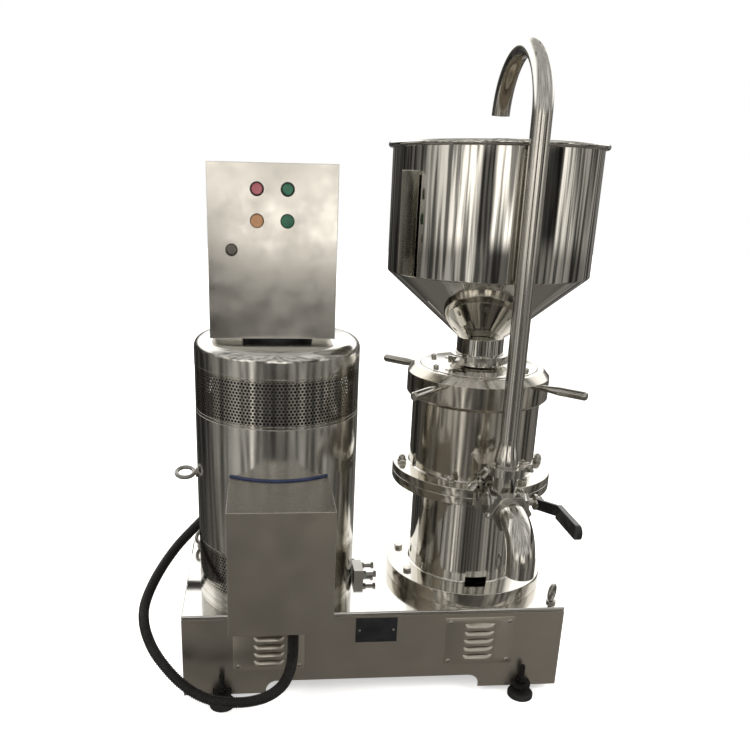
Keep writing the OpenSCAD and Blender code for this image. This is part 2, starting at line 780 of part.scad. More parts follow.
// bearing sleeve hung from the middle flange, with the seal seat on top
module bearing_sleeve() {
  top = mid_z + mid_t;
  color(iron) at_mill() difference() {
    union() {
      disc(cartridge_r, top - cartridge_t, top);
      disc(sleeve_r, base_top + 20, top);
      disc(seal_r, top - 1, top + mid_t);
    }
    disc(sleeve_bore, base_top + 2 * bearing_h, top - 12);
    disc(spindle_r + 3, base_top, top + mid_t + 1);
  }
}
module spindle_bearings() {
  color(steel) at_mill() for (z = [base_top + 2 * bearing_h, mid_z + mid_t - 12 - bearing_h])
    tube(spindle_r + run_gap, sleeve_bore, z, z + bearing_h);
}
module mill_housing() {
  color(steel) at_mill() difference() {
    union() {
      disc(mid_r, mid_z + mid_t, mid_top);
      disc(body_r, mid_top - 1, ring_z - free_gap);
      disc(spigot_r, ring_z - 5, spigot_top);
    }
    disc(seal_r, mid_z, mid_top + 1);
    disc(chamber_r, mid_top, stator_z0 + 1);
    disc(stator_r, stator_z0, spigot_top + 1);
    ring_of(mid_bolt_as) translate([mid_bolt_pcr, 0, 0])
      disc(bolt_r + hole_gap, mid_z + mid_t - 1, mid_top + 1);
    ring_of(cover_screw_as) translate([cover_screw_pcr, 0, 0])
      disc(cover_screw_r, spigot_top - 22, spigot_top + 1);
    block([-30, -body_r - 5, mid_top + 4], [30, -chamber_r + 20, stator_z0 - 2]);
  }
}
// box over the flange edge that leads the product from the housing to the outlet ferrule
module discharge_box() {
  top = mid_top + 72;
  low = valve_z - 38;
  w = out_wall;
  color(steel) at_mill() difference() {
    union() {
      block([-box_half, out_plate_y, mid_top], [box_half, -100, top]);
      block([-box_half, out_plate_y, low], [box_half, -mid_r - 1, mid_top + 1]);
      yrod([0, out_joint_y, valve_z], port_r, out_plate_y - out_joint_y + 1);
      yrod([0, out_joint_y, valve_z], tube_ferrule_r, ferrule_t);
    }
    block([-box_half + w, out_plate_y + w, mid_top + w], [box_half - w, -90, top - w]);
    block([-box_half + w, out_plate_y + w, low + w], [box_half - w, -mid_r - 1 - w, mid_top + w + 1]);
    disc(body_r, mid_top - 1, top + 1);
    yrod([0, out_joint_y - 1, valve_z], port_bore, out_plate_y - out_joint_y + w + 2);
  }
}
// studs of the middle flange with a cap nut on top and a plain nut below
module flange_bolts() {
  color(steel) at_mill() ring_of(mid_bolt_as) translate([mid_bolt_pcr, 0, 0]) union() {
    disc(bolt_r, mid_z - 12, mid_top + 1);
    hexagon(bolt_head_r, mid_z - 9, mid_z);
    hexagon(bolt_head_r, mid_top, mid_top + 9);
    disc(8.5, mid_top + 8, mid_top + 12);
    translate([0, 0, mid_top + 12]) sphere(r = 8.5);
  }
}
// radius of the grinding cone at height z
function cone_r(z) = rotor_r0 + (rotor_r1 - rotor_r0) * (z - rotor_z0) / (rotor_z1 - rotor_z0);
// grooves along the grinding cone
module grooves(n, depth, skew, out) {
  lean = atan((rotor_r0 - rotor_r1) / (rotor_z1 - rotor_z0));
  m = (rotor_z0 + rotor_z1) / 2;
  ring_of([0 : 360 / n : 359]) translate([cone_r(m) + out, 0, m])
    rotate([0, -lean, 0]) rotate([skew, 0, 0]) translate([-depth, -3, -80]) cube([2 * depth, 6, 160]);
}
module stator() {
  low = rotor_z0 - 20;
  high = stator_z1 + 8;
  color(iron) at_mill() difference() {
    disc(stator_r, stator_z0, stator_z1);
    translate([0, 0, low])
      cylinder(r1 = cone_r(low) + grind_gap, r2 = cone_r(high) + grind_gap, h = high - low);
    intersection() {
      grooves(24, 4, 12, grind_gap);
      disc(stator_r, stator_z0 - 1, stator_z1 - 25);
    }
  }
}
module rotor() {
  color(steel) at_mill() difference() {
    union() {
      translate([0, 0, rotor_z0]) cylinder(r1 = rotor_r0, r2 = rotor_r1, h = rotor_z1 - rotor_z0);
      translate([0, 0, rotor_z1 - 1]) cylinder(r1 = 34, r2 = 24, h = 22);
    }
    disc(spindle_top_r, rotor_z0 - 1, rotor_z1);
    grooves(24, 5, 12, 0);
  }
}
module feed_cover() {
  color(steel) at_mill() difference() {
    union() {
      disc(cover_plate_r, spigot_top, cover_plate_top);
      disc(neck_r, cover_plate_top - 1, neck_joint);
      disc(neck_ferrule_r, neck_joint - ferrule_t, neck_joint);
    }
    disc(neck_r - 3, spigot_top - 1, neck_joint + 1);
    ring_of(cover_screw_as) translate([cover_screw_pcr, 0, 0])
      disc(cover_screw_r + hole_gap, spigot_top - 1, cover_plate_top + 1);
  }
}
module cover_screws() {
  color(steel) at_mill() ring_of(cover_screw_as) translate([cover_screw_pcr, 0, cover_plate_top])
    difference() {
      union() {
        disc(cover_screw_r, -cover_plate_top + spigot_top - 18, 1);
        disc(cover_screw_r + 2.5, 0, 7);
      }
      hexagon(3.4, 3, 8);
    }
}
// meridian of the hopper: ferrule, neck, cone, cylinder and rolled bead
module hopper() {
  t = hopper_t;
  n0 = neck_joint;
  color(steel) at_mill() rotate_extrude($fn = 96) union() {
    difference() {
      polygon([[0, n0], [neck_ferrule_r, n0], [neck_ferrule_r, n0 + ferrule_t], [neck_r, n0 + ferrule_t],
        [neck_r, neck_top], [hopper_r, cone_top], [hopper_r, hopper_top], [0, hopper_top]]);
      polygon([[-1, n0 - 1], [neck_r - 3, n0 - 1], [neck_r - 3, neck_top + 1], [hopper_r - t, cone_top + 1],
        [hopper_r - t, hopper_top + 1], [-1, hopper_top + 1]]);
    }
    translate([hopper_r + 5, hopper_top]) circle(r = bead_r);
  }
}
// clamp round a ferrule pair: joint plane at z = 0, ears and screw at +X, hinge at -X
module ferrule_clamp(fr, pipe, screw) {
  ro = fr + clamp_wall + 2;
  h = ferrule_t + lip;
  union() {
    difference() {
      rotate_extrude() polygon([[ro, -h], [ro, h], [pipe + 1.5, h], [pipe + 1.5, ferrule_t],
        [fr + free_gap, ferrule_t], [fr + free_gap, -ferrule_t], [pipe + 1.5, -ferrule_t],
        [pipe + 1.5, -h]]);
      block([0, -3, -h - 1], [2 * ro, 3, h + 1]);
    }
    for (s = [-1, 1]) translate([0, s * 6, 0]) block([ro - 3, -3, -h + 1], [ro + 17, 3, h - 1]);
    yrod([ro + 9, -screw, 0], 4, 2 * screw + 4);
    yrod([ro + 9, screw - 8, 0], 9, 12);
    translate([ro + 9, screw - 2, 0]) block([-13, -4, -3], [13, 4, 3]);
    yrod([-ro - 2, -9, 0], 4.5, 18);
  }
}
module hopper_clamp() {
  color(steel) at_mill() translate([0, 0, neck_joint]) rotate([0, 0, 205])
    ferrule_clamp(neck_ferrule_r, neck_r, 26);
}
module tube_clamps() {
  color(steel) at_mill() {
    translate([0, out_joint_y, valve_z]) rotate([90, 0, 0]) rotate([0, 0, 140])
      ferrule_clamp(tube_ferrule_r, port_r, 24);
    translate([0, valve_y, top_joint_z]) rotate([0, 0, 8]) ferrule_clamp(tube_ferrule_r, port_r, 22);
  }
}
// three-way plug valve: plug axis along X, ports to the rear, to the front and upwards
module valve_body() {
  xh = 34;
  color(steel) at_mill() difference() {
    union() {
      xrod([-xh, valve_y, valve_z], barrel_body_r, 2 * xh);
      xrod([-xh - 5, valve_y, valve_z], 24, 6);
      yrod([0, valve_y, valve_z], port_r, out_joint_y - valve_y);
      yrod([0, out_joint_y - ferrule_t, valve_z], tube_ferrule_r, ferrule_t);
      translate([0, valve_y, 0]) disc(port_r, valve_z, top_joint_z);
      translate([0, valve_y, 0]) disc(tube_ferrule_r, top_joint_z - ferrule_t, top_joint_z);
      yrod([0, union_seat, valve_z], spigot_thread_r, valve_y - union_seat);
    }
    xrod([-xh + 4, valve_y, valve_z], plug_r + run_gap, 2 * xh);
    yrod([0, valve_y - 60, valve_z], port_bore, 120);
    translate([0, valve_y, 0]) disc(port_bore, valve_z, top_joint_z + 1);
  }
}
module valve_bonnet() {
  color(steel) at_mill() difference() {
    union() {
      xrod([34, valve_y, valve_z], 33, 6);
      translate([40, valve_y, valve_z]) rotate([0, 90, 0]) hexagon(20, -1, 14);
    }
    xrod([33, valve_y, valve_z], stem_r + run_gap, 30);
  }
}
module valve_plug() {
  color(steel) at_mill() difference() {
    union() {
      xrod([-29, valve_y, valve_z], plug_r, 62.5);
      xrod([30, valve_y, valve_z], stem_r, lever_x - mill_x - 30 + lever_t + 14);
    }
    yrod([0, valve_y - 40, valve_z], 19, 80);
    translate([0, valve_y, 0]) disc(19, valve_z - 40, valve_z);
  }
}
// bent flat bar lever: hub on the stem, a step outwards, then straight ahead
module valve_lever() {
  x = lever_x - mill_x;
  b = lever_bend;
  t = lever_t;
  y0 = valve_y - 12;
  y1 = y0 - b - 4;
  y2 = lever_tip + 8;
  color(steel) at_mill() {
    difference() {
      union() {
        xrod([x, valve_y, valve_z], 17, t);
        translate([0, 0, valve_z - lever_h / 2]) linear_extrude(height = lever_h)
          polygon([[x, valve_y], [x, y0], [x + b, y1], [x + b, y2], [x + b + t, y2], [x + b + t, y1 + 2],
            [x + t, y0 + 2], [x + t, valve_y]]);
      }
      xrod([x - 1, valve_y, valve_z], stem_r + run_gap / 2, t + 2);
    }
    difference() {
      translate([x + t, valve_y, valve_z]) rotate([0, 90, 0]) hexagon(13, 0, 10);
      xrod([x, valve_y, valve_z], stem_r + run_gap / 2, 30);
    }
  }
}
module lever_grip() {
  x = lever_x - mill_x + lever_bend;
  y1 = valve_y - 12 - lever_bend - 8;
  h = lever_h / 2 + 3;
  color(black) at_mill() difference() {
    union() {
      block([x - 4, lever_tip + h, valve_z - h], [x + lever_t + 4, y1, valve_z + h]);
      xrod([x - 4, lever_tip + h, valve_z], h, lever_t + 8);
    }
    block([x, lever_tip + 8, valve_z - lever_h / 2], [x + lever_t, y1 + 1, valve_z + lever_h / 2]);
  }
}
module union_nut() {
  color(steel) at_mill() translate([0, nut_y0, valve_z]) rotate([90, 0, 0]) difference() {
    hexagon(union_r, 0, nut_y0 - union_seat + ferrule_t + 8);
    disc(spigot_thread_r + run_gap, -1, nut_y0 - union_seat + ferrule_t);
    disc(elbow_r + run_gap, 0, nut_y0 - union_seat + ferrule_t + 9);
  }
}
module outlet_elbow() {
  run = union_seat - elbow_start;
  b = elbow_bend;
  t = tube_t;
  color(steel) at_mill() union() {
    translate([0, union_seat, valve_z]) rotate([90, 0, 0]) rotate_extrude() polygon([[elbow_r - t, 0],
      [spigot_thread_r, 0], [spigot_thread_r, ferrule_t], [elbow_r, ferrule_t], [elbow_r, run],
      [elbow_r - t, run]]);
    translate([0, elbow_start, valve_z - b]) rotate([90, 0, -90]) rotate_extrude(angle = 90)
      translate([b, 0]) pipe_wall(elbow_r);
    translate([0, elbow_start - b, 0]) tube(elbow_r - t, elbow_r, valve_z - b - elbow_drop, valve_z - b);
  }
}
// cross-section of a tube wall
module pipe_wall(r) {
  difference() {
    circle(r = r);
    circle(r = r - tube_t);
  }
}
module recirculation_pipe() {
  b = pipe_bend;
  t = tube_t;
  j = top_joint_z;
  color(steel) at_mill() translate([0, valve_y, 0]) union() {
    rotate_extrude() polygon([[port_r - t, j], [tube_ferrule_r, j], [tube_ferrule_r, j + ferrule_t],
      [port_r, j + ferrule_t], [port_r, reducer_z0], [pipe_r, reducer_z1], [pipe_r, pipe_bend_z],
      [pipe_r - t, pipe_bend_z], [pipe_r - t, reducer_z1], [port_r - t, reducer_z0]]);
    translate([0, b, pipe_bend_z]) rotate([90, 0, -90]) rotate_extrude(angle = pipe_sweep) translate([b, 0])
      pipe_wall(pipe_r);
  }
}
// middle height of a belt
function belt_z(i) = (pulley_z0 + pulley_z1) / 2 + (i - (belt_n - 1) / 2) * belt_pitch;
// belts: a half ring on each pulley joined by two straight runs
module drive_belts() {
  r = pulley_r - belt_drop;
  color(black) put() for (i = [0 : belt_n - 1]) translate([0, 0, belt_z(i) - belt_w / 2]) union() {
    for (s = [-1, 1]) translate([s * axis_span / 2, 0, 0]) rotate([0, 0, -90 * s])
      rotate_extrude(angle = 180) translate([r - belt_t, 0]) square([belt_t, belt_w]);
    for (y = [-r, r - belt_t]) block([motor_x, y, 0], [mill_x, y + belt_t, belt_w]);
  }
}
module pulley() {
  difference() {
    disc(pulley_r, pulley_z0, pulley_z1);
    disc(shaft_seat_r, pulley_z0 - 1, pulley_z1 + 1);
    for (i = [0 : belt_n - 1]) tube(pulley_r - belt_drop - belt_t - groove_gap, pulley_r + 5,
      belt_z(i) - belt_w / 2 - groove_gap, belt_z(i) + belt_w / 2 + groove_gap);
  }
}
module drive_pulley() {
  color(iron) at_motor() pulley();
}
module driven_pulley() {
  color(iron) at_mill() pulley();
}
module motor_shaft() {
  color(iron) at_motor() union() {
    disc(shaft_seat_r, pulley_z0 - shaft_end, pulley_z1 + 1);
    disc(shaft_r, pulley_z1, fan_z + fan_hub_h);
    disc(motor_cavity_r - winding_t - core_gap, winding_z0 + 4, winding_z1 - 4);
    hexagon(shaft_nut_r, pulley_z0 - shaft_nut_t, pulley_z0);
  }
}
module motor_fan() {
  color(black) at_motor() union() {
    tube(shaft_r, fan_hub_r, fan_z, fan_z + fan_hub_h);
    tube(fan_hub_r - 1, fan_r, fan_z, fan_z + fan_disc_t);
    ring_of([0 : 45 : 315]) block([fan_hub_r - 1, -2, fan_z + 2], [fan_r - 2, 2, fan_z + fan_h]);
  }
}
module spindle() {
  color(steel) at_mill() union() {
    disc(shaft_seat_r, pulley_z0 - shaft_end, pulley_z1 + 1);
    disc(spindle_r, pulley_z1, rotor_z0);
    disc(spindle_top_r, rotor_z0 - 1, rotor_z1);
    hexagon(shaft_nut_r, pulley_z0 - shaft_nut_t, pulley_z0);
    disc(slinger_r, mid_top + free_gap, mid_top + slinger_t);
  }
}
// adjusting ring: bevelled above and below, turning on the threaded spigot of the housing
module adjusting_ring() {
  r0 = spigot_r + run_gap;
  r1 = cover_plate_r + free_gap;
  z1 = ring_z + ring_h;
  color(steel) at_mill() difference() {
    rotate_extrude($fn = 96) polygon([[r0, ring_z], [ring_r - 9, ring_z], [ring_r, ring_z + 9],
      [ring_r, z1 - 17], [ring_r - 15, z1], [r1, z1], [r1, spigot_top + free_gap],
      [r0, spigot_top + free_gap]]);
    ring_of(handle_as) xrod([ring_r - 20, 0, handle_z], handle_screw_r, 30);
  }
}
module ring_handles() {
  color(steel) at_mill() ring_of(handle_as) translate([0, 0, handle_z]) rotate([0, 90, 0]) union() {
    disc(handle_screw_r, ring_r - 20, ring_r + 10);
    translate([0, 0, ring_r + 2]) cylinder(r1 = handle_screw_r + 1.5, r2 = handle_r, h = 38);
    disc(handle_r, ring_r + 40, handle_reach - 3);
    translate([0, 0, handle_reach - 3]) cylinder(r1 = handle_r, r2 = handle_r - 2.5, h = 3);
  }
}
module door_holes() {
  for (s = [-1, 1]) {
    yrod([button_x + s * button_dx, box_y0 - 1, button_z1], barrel_r + hole_gap, 4);
    yrod([button_x + s * button_dx, box_y0 - 1, button_z2], barrel_r + hole_gap, 4);
  }
  yrod([lock_x, box_y0 - 1, lock_z], lock_r + run_gap, 4);
}
// door pan: front sheet folded back at the top, the bottom and the lock side
module box_door() {
  t = box_sheet;
  x0 = box_x - box_w / 2;
  x1 = box_x + box_w / 2;
  z1 = box_z + box_h;
  color(satin) put() difference() {
    block([x0, box_y0, box_z], [x1, box_y0 + door_d, z1]);
    block([x0 + t, box_y0 + t, box_z + t], [x1 + 1, box_y0 + door_d + 1, z1 - t]);
    door_holes();
    for (z = [box_z, z1 - t]) translate([hinge_x, hinge_y, z - 1]) disc(hinge_pin_r + run_gap, 0, t + 2);
  }
}
// metal bezel with its barrel through the door and the closed contact block behind
module push_bezels() {
  color(steel) put() for (s = [-1, 1]) translate([button_x + s * button_dx, box_y0, button_z1])
    rotate([-90, 0, 0]) difference() {
      union() {
        disc(bezel_r, -7, 0);
        translate([0, 0, -8]) cylinder(r1 = bezel_r - 1, r2 = bezel_r, h = 1);
        disc(barrel_r, -1, barrel_l);
        disc(barrel_nut_r, 2, 6);
      }
      disc(cap_r + run_gap, -9, cap_l);
    }
}
module push_cap(s) {
  put() translate([button_x + s * button_dx, box_y0, button_z1]) rotate([-90, 0, 0]) union() {
    disc(cap_r, -10, cap_l - press - 1);
    translate([0, 0, -11]) cylinder(r1 = cap_r - 1, r2 = cap_r, h = 1);
  }
}
module stop_button() {
  color([0.75, 0.1, 0.1]) push_cap(-1);
}
module start_button() {
  color([0.05, 0.35, 0.15]) push_cap(1);
}
module pilot_lamps() {
  color([0.9, 0.55, 0.2]) put() for (s = [-1, 1]) translate([button_x + s * button_dx, box_y0, button_z2])
    rotate([-90, 0, 0]) union() {
      disc(bezel_r, -5, 0);
      disc(bezel_r - 1.2, -14, -4);
      translate([0, 0, -16]) cylinder(r1 = bezel_r - 3.5, r2 = bezel_r - 1.2, h = 2);
      disc(barrel_r, -1, barrel_l);
      disc(barrel_nut_r, 2, 6);
    }
}
// quarter-turn lock: head in front of the door, cam behind it
module door_lock() {
  color(steel) put() translate([lock_x, box_y0, lock_z]) rotate([-90, 0, 0]) union() {
    difference() {
      union() {
        disc(13, -5, 0);
        hexagon(11, -9, -4);
      }
      block([-1.2, -7, -10], [1.2, 7, -6]);
    }
    disc(lock_r, -1, shell_y0 - box_y0 + 8);
    disc(13, 2, 6);
    block([-8, 0, shell_y0 - box_y0 + 4], [8, 44, shell_y0 - box_y0 + 8]);
  }
}

base_plate();
base_skin();
base_frame();
access_panels();
panel_screws();
nameplate();
foot_lugs();
levelling_screws();
foot_pads();
lifting_eyes();
belt_tensioner();
motor_housing();
motor_stator();
base_bolts();
motor_cover();
upper_vent_band();
lower_vent_band();
terminal_box();
edge_trim();
cable_glands();
conduit();
box_saddle();
control_box();
control_gear();
pedestal();
bearing_sleeve();
spindle_bearings();
mill_housing();
discharge_box();
flange_bolts();
stator();
feed_cover();
cover_screws();
hopper();
hopper_clamp();
tube_clamps();
valve_body();
valve_bonnet();
union_nut();
outlet_elbow();
recirculation_pipe();
drive_belts();
motor_shaft();
motor_fan();
drive_pulley();
spindle();
driven_pulley();
rotor();
adjusting_ring();
ring_handles();
valve_plug();
valve_lever();
lever_grip();
box_door();
push_bezels();
pilot_lamps();
stop_button();
start_button();
door_lock();
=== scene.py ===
"""Dresses the split vertical colloid mill: polished grinding head and motor cover, satin boxes, ribbed conduit."""

import json
import logging
import math
from dataclasses import dataclass
from enum import Enum
from typing import Callable, Sequence

import bmesh
import bpy
from mathutils import Matrix, Vector


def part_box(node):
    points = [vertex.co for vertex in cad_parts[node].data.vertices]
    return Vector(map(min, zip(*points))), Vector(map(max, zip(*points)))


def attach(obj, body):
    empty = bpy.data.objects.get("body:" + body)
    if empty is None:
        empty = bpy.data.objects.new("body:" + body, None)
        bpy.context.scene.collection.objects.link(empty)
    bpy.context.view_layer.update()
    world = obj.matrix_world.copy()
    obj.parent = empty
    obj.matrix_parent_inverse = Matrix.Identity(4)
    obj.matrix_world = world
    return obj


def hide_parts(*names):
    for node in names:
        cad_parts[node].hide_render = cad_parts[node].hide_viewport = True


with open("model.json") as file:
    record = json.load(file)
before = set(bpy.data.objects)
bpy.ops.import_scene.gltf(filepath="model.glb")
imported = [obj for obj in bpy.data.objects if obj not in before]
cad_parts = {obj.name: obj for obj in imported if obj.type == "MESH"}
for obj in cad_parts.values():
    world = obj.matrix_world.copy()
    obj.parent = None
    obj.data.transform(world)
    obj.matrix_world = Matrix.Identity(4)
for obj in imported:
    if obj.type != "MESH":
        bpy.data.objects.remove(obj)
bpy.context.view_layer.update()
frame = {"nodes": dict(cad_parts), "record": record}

LOG = logging.getLogger("colloid_mill")
MM = 0.001
UM = 1e-6
QUARTER = math.pi / 2
# Edges that get broken, edges that dissolve, corners that stay, and the angle up to which soft shapes shade smooth
SHARP_EDGE = math.radians(50)
FLAT_EDGE = math.radians(1)
STRAIGHT_CORNER = math.radians(88)
SOFT_EDGE = 50.0
# A nut's chamfer and what is left of its corners at the end, as shares of its radius
NUT_CHAMFER, NUT_END = 0.12, 0.93
# Turns of repeated shapes, as angles about X, Y and Z
PLAIN = (0.0, 0.0, 0.0)
TO_FRONT = (QUARTER, 0.0, 0.0)
RECORD = frame["record"]
BODY_OF = {n: b for b, ns in RECORD["behaviour"]["bodies"].items() for n in ns}
Outline = list[tuple[float, float]]
Triple = tuple[float, float, float]
Spots = list[tuple[Vector, Triple]]
Piece = bpy.types.Object
Tree = bpy.types.NodeTree
Socket = bpy.types.NodeSocket


def linear(code: str) -> tuple[float, float, float, float]:
    """Turns an sRGB hex value into a linear colour.

    Args:
        code: Six hex digits, such as "d8d4cc".

    Returns:
        Red, green, blue and alpha, linear.
    """
    parts = [int(code[i:i + 2], 16) / 255 for i in (0, 2, 4)]
    red, green, blue = (p / 12.92 if p <= 0.04045 else ((p + 0.055) / 1.055) ** 2.4 for p in parts)
    return red, green, blue, 1.0


def add(tree: Tree, kind: str, feeds: dict | None = None, **settings: object) -> bpy.types.Node:
    """Adds one node with its settings and links.

    Args:
        tree: The tree that gets the node.
        kind: The node's type name.
        feeds: Input name or index to a plain value, to another node's output, or to a node for its first output.
        **settings: Properties of the node.

    Returns:
        The new node.
    """
    made = tree.nodes.new(kind)
    for key, value in settings.items():
        setattr(made, key, value)
    for key, value in (feeds or {}).items():
        source = value.outputs[0] if isinstance(value, bpy.types.Node) else value
        if isinstance(source, Socket):
            tree.links.new(source, made.inputs[key])
        else:
            made.inputs[key].default_value = source
    return made


def blank(name: str, **constants: object) -> tuple[bpy.types.Material, Tree, bpy.types.NodeInputs]:
    """Starts a material.

    Args:
        name: The material's name.
        **constants: Values for the shader's sockets, with low lines for the gaps in their names.

    Returns:
        The material, its tree and its shader's inputs.
    """
    made = bpy.data.materials.new(name)
    made.use_nodes = True
    sockets = made.node_tree.nodes["Principled BSDF"].inputs
    for key, value in constants.items():
        sockets[key.replace("_", " ")].default_value = value
    return made, made.node_tree, sockets


class Grain(Enum):
    """Direction of the fine lines that grinding leaves, as pattern lines per metre on X, Y and Z."""

    RINGS = (5.0, 5.0, 700.0)
    LEVEL = (5.0, 700.0, 700.0)
    CLOUD = (60.0, 60.0, 60.0)


@dataclass(frozen=True)
class Finish:
    """What a piece is made of."""
    # Upward faces take the darker sheet: painted reflection of the perforated band

    name: str

    def material(self) -> bpy.types.Material:
        """Gives the finish's material, built on first use."""
        return bpy.data.materials.get(self.name) or self.build()

    def build(self) -> bpy.types.Material:
        """Builds the material."""
        raise NotImplementedError

    def wire(self, tree: Tree, sockets: bpy.types.NodeInputs, colour: Socket, rough: Socket, skin: Socket) -> None:
        """Links colour, roughness and relief to the shader."""
        for key, value in (("Base Color", colour), ("Roughness", rough), ("Normal", skin)):
            tree.links.new(value, sockets[key])


@dataclass(frozen=True)
class Stainless(Finish):
    """Stainless steel, ground or polished: its look is its reflections, broken by fine lines and hand marks."""

    tint: str
    roughness: float
    marks: float
    grain: Grain
    line_um: float
    wave_um: float
    wave_mm: Triple = (90.0, 90.0, 90.0)
    mark_mm: float = 70.0
    dulled: float = 0.72
    dull_share: float = 0.35
    least_roughness: float = 0.02

    def build(self) -> bpy.types.Material:
        """Builds the material: marks change tint and gloss, waves and lines bend the reflections.

        Returns:
            The material.
        """
        made, tree, sockets = blank(self.name, Metallic=1.0)
        where = add(tree, "ShaderNodeTexCoord").outputs["Object"]
        cloud = add(tree, "ShaderNodeTexNoise", {"Vector": where, "Scale": 1 / (self.mark_mm * MM), "Detail": 2.0})
        rough = add(tree, "ShaderNodeMapRange", {"Value": cloud, "From Min": 0.2, "From Max": 0.8,
                    "To Min": max(self.least_roughness, self.roughness - self.marks),
                    "To Max": self.roughness + self.marks})
        tone = add(tree, "ShaderNodeMapRange", {"Value": cloud, "From Min": 0.2, "From Max": 0.8, "To Min": 0.0,
                   "To Max": self.dull_share})
        bright = linear(self.tint)
        dull = tuple(self.dulled * c for c in bright[:3]) + (1.0,)
        colour = add(tree, "ShaderNodeMix", {"Factor": tone, 6: bright, 7: dull}, data_type="RGBA").outputs[2]
        eased = add(tree, "ShaderNodeMapping", {"Vector": where, "Scale": tuple(1 / (w * MM) for w in self.wave_mm)})
        slow = add(tree, "ShaderNodeTexNoise", {"Vector": eased, "Scale": 1.0, "Detail": 1.0})
        wave = add(tree, "ShaderNodeBump", {"Height": slow, "Strength": 1.0, "Distance": self.wave_um * UM})
        lined = add(tree, "ShaderNodeMapping", {"Vector": where, "Scale": self.grain.value})
        lines = add(tree, "ShaderNodeTexNoise", {"Vector": lined, "Scale": 1.0, "Detail": 2.0})
        cut = add(tree, "ShaderNodeBump", {"Height": lines, "Strength": 1.0, "Distance": self.line_um * UM,
                  "Normal": wave})
        self.wire(tree, sockets, colour, rough.outputs[0], cut.outputs[0])
        return made


@dataclass(frozen=True)
class Coated(Finish):
    """Paint, plastic, rubber or cast skin: a plain colour that grain, dust and wear break up."""

    colour: str
    worn: str
    roughness: float
    grain_mm: float
    grain_um: float
    metallic: float = 0.0
    coat: float = 0.0
    patch_mm: float = 25.0
    worn_share: float = 0.6

    def build(self) -> bpy.types.Material:
        """Builds the material: worn patches change colour and gloss, fine grain roughens the skin.

        Returns:
            The material.
        """
        made, tree, sockets = blank(self.name, Metallic=self.metallic, Coat_Weight=self.coat)
        where = add(tree, "ShaderNodeTexCoord").outputs["Object"]
        patch = add(tree, "ShaderNodeTexNoise", {"Vector": where, "Scale": 1 / (self.patch_mm * MM), "Detail": 4.0})
        share = add(tree, "ShaderNodeMapRange", {"Value": patch, "From Min": 0.4, "From Max": 0.75, "To Min": 0.0,
                    "To Max": self.worn_share})
        colour = add(tree, "ShaderNodeMix", {"Factor": share, 6: linear(self.colour), 7: linear(self.worn)},
                     data_type="RGBA").outputs[2]
        rough = add(tree, "ShaderNodeMapRange", {"Value": patch, "From Min": 0.3, "From Max": 0.7,
                    "To Min": self.roughness * 0.8, "To Max": min(1.0, self.roughness * 1.2)})
        fine = add(tree, "ShaderNodeTexNoise", {"Vector": where, "Scale": 1 / (self.grain_mm * MM), "Detail": 2.0})
        skin = add(tree, "ShaderNodeBump", {"Height": fine, "Strength": 1.0, "Distance": self.grain_um * UM})
        self.wire(tree, sockets, colour, rough.outputs[0], skin.outputs[0])
        return made


# Mirror-polished sheet: sharp reflections, drawn into upright streaks by the slow waves of rolled sheet
MIRROR_SHEET = Stainless("mirror_polished_stainless_sheet", "d8d6d0", 0.05, 0.02, Grain.RINGS, 0.6, 420.0,
                         wave_mm=(48.0, 48.0, 300.0))
# Polished rolled cover: soft upright reflections with calm waves
MIRROR_COVER = Stainless("mirror_polished_stainless_cover", "d8d6d0", 0.15, 0.04, Grain.RINGS, 0.6, 60.0,
                         wave_mm=(60.0, 60.0, 400.0))
# Perforated sheet: bright webs round dark holes
PERFORATED_SHEET = Stainless("perforated_stainless_sheet", "cdc9c0", 0.14, 0.04, Grain.RINGS, 2.0, 20.0)
# Chrome plating of the bezels, worn dark
WORN_CHROME = Stainless("worn_chrome_plating", "77746f", 0.2, 0.05, Grain.CLOUD, 2.0, 5.0)
# Polished tube: soft reflections, drawn into lines along the tube by its shape
MIRROR_TUBE = Stainless("mirror_polished_stainless_tube", "d2cfc8", 0.15, 0.03, Grain.CLOUD, 0.3, 4.0)
# Mirror-polished turned bar: sharp, with faint rings from the lathe
MIRROR_TURNED = Stainless("mirror_polished_stainless_turning", "d2cfc8", 0.1, 0.04, Grain.RINGS, 2.0, 60.0)
# Fine-ground turning: rings from the grinding belt spread the reflections upwards and downwards
GROUND_TURNED = Stainless("ground_stainless_turning", "cdc8be", 0.13, 0.05, Grain.RINGS, 3.0, 30.0)
# Polished flat plate: nearly a mirror, with hand marks
POLISHED_PLATE = Stainless("polished_stainless_plate", "dcdad5", 0.1, 0.05, Grain.CLOUD, 1.5, 90.0)
# Satin sheet: a blurred grey reflection with smears
SATIN_SHEET = Stainless("satin_stainless_sheet", "d8d1c5", 0.33, 0.07, Grain.CLOUD, 0.5, 160.0,
                        wave_mm=(160.0, 160.0, 110.0))
# Satin sheet of the terminal box's top faces: the same blur, tinted darker as a painted reflection of the perforated
# band
TOP_PAINTED_REFLECTION_SHEET = Stainless("soiled_stainless_sheet", "a9a49b", 0.26, 0.08, Grain.CLOUD, 2.0, 60.0)
# Satin sheet of the control box: lighter, hand-wiped, so its reflections stay blurred but readable
SATIN_BOX = Stainless("wiped_stainless_box_sheet", "e4e1da", 0.17, 0.07, Grain.CLOUD, 0.4, 90.0,
                      wave_mm=(150.0, 150.0, 110.0), mark_mm=45.0)
# Small bright fittings and fasteners
BRIGHT_FITTING = Stainless("bright_stainless_fitting", "c6c3bc", 0.17, 0.06, Grain.CLOUD, 2.5, 10.0)
# Milled steel block with a light oil film
MILLED_STEEL = Stainless("milled_steel", "a9a7a2", 0.3, 0.08, Grain.LEVEL, 5.0, 10.0)
# Oxide-blackened steel: dark, half matt, grey where it is rubbed
BLACK_STEEL = Coated("black_oxide_steel", "121211", "2b2a28", 0.5, 0.8, 20.0, metallic=0.6)
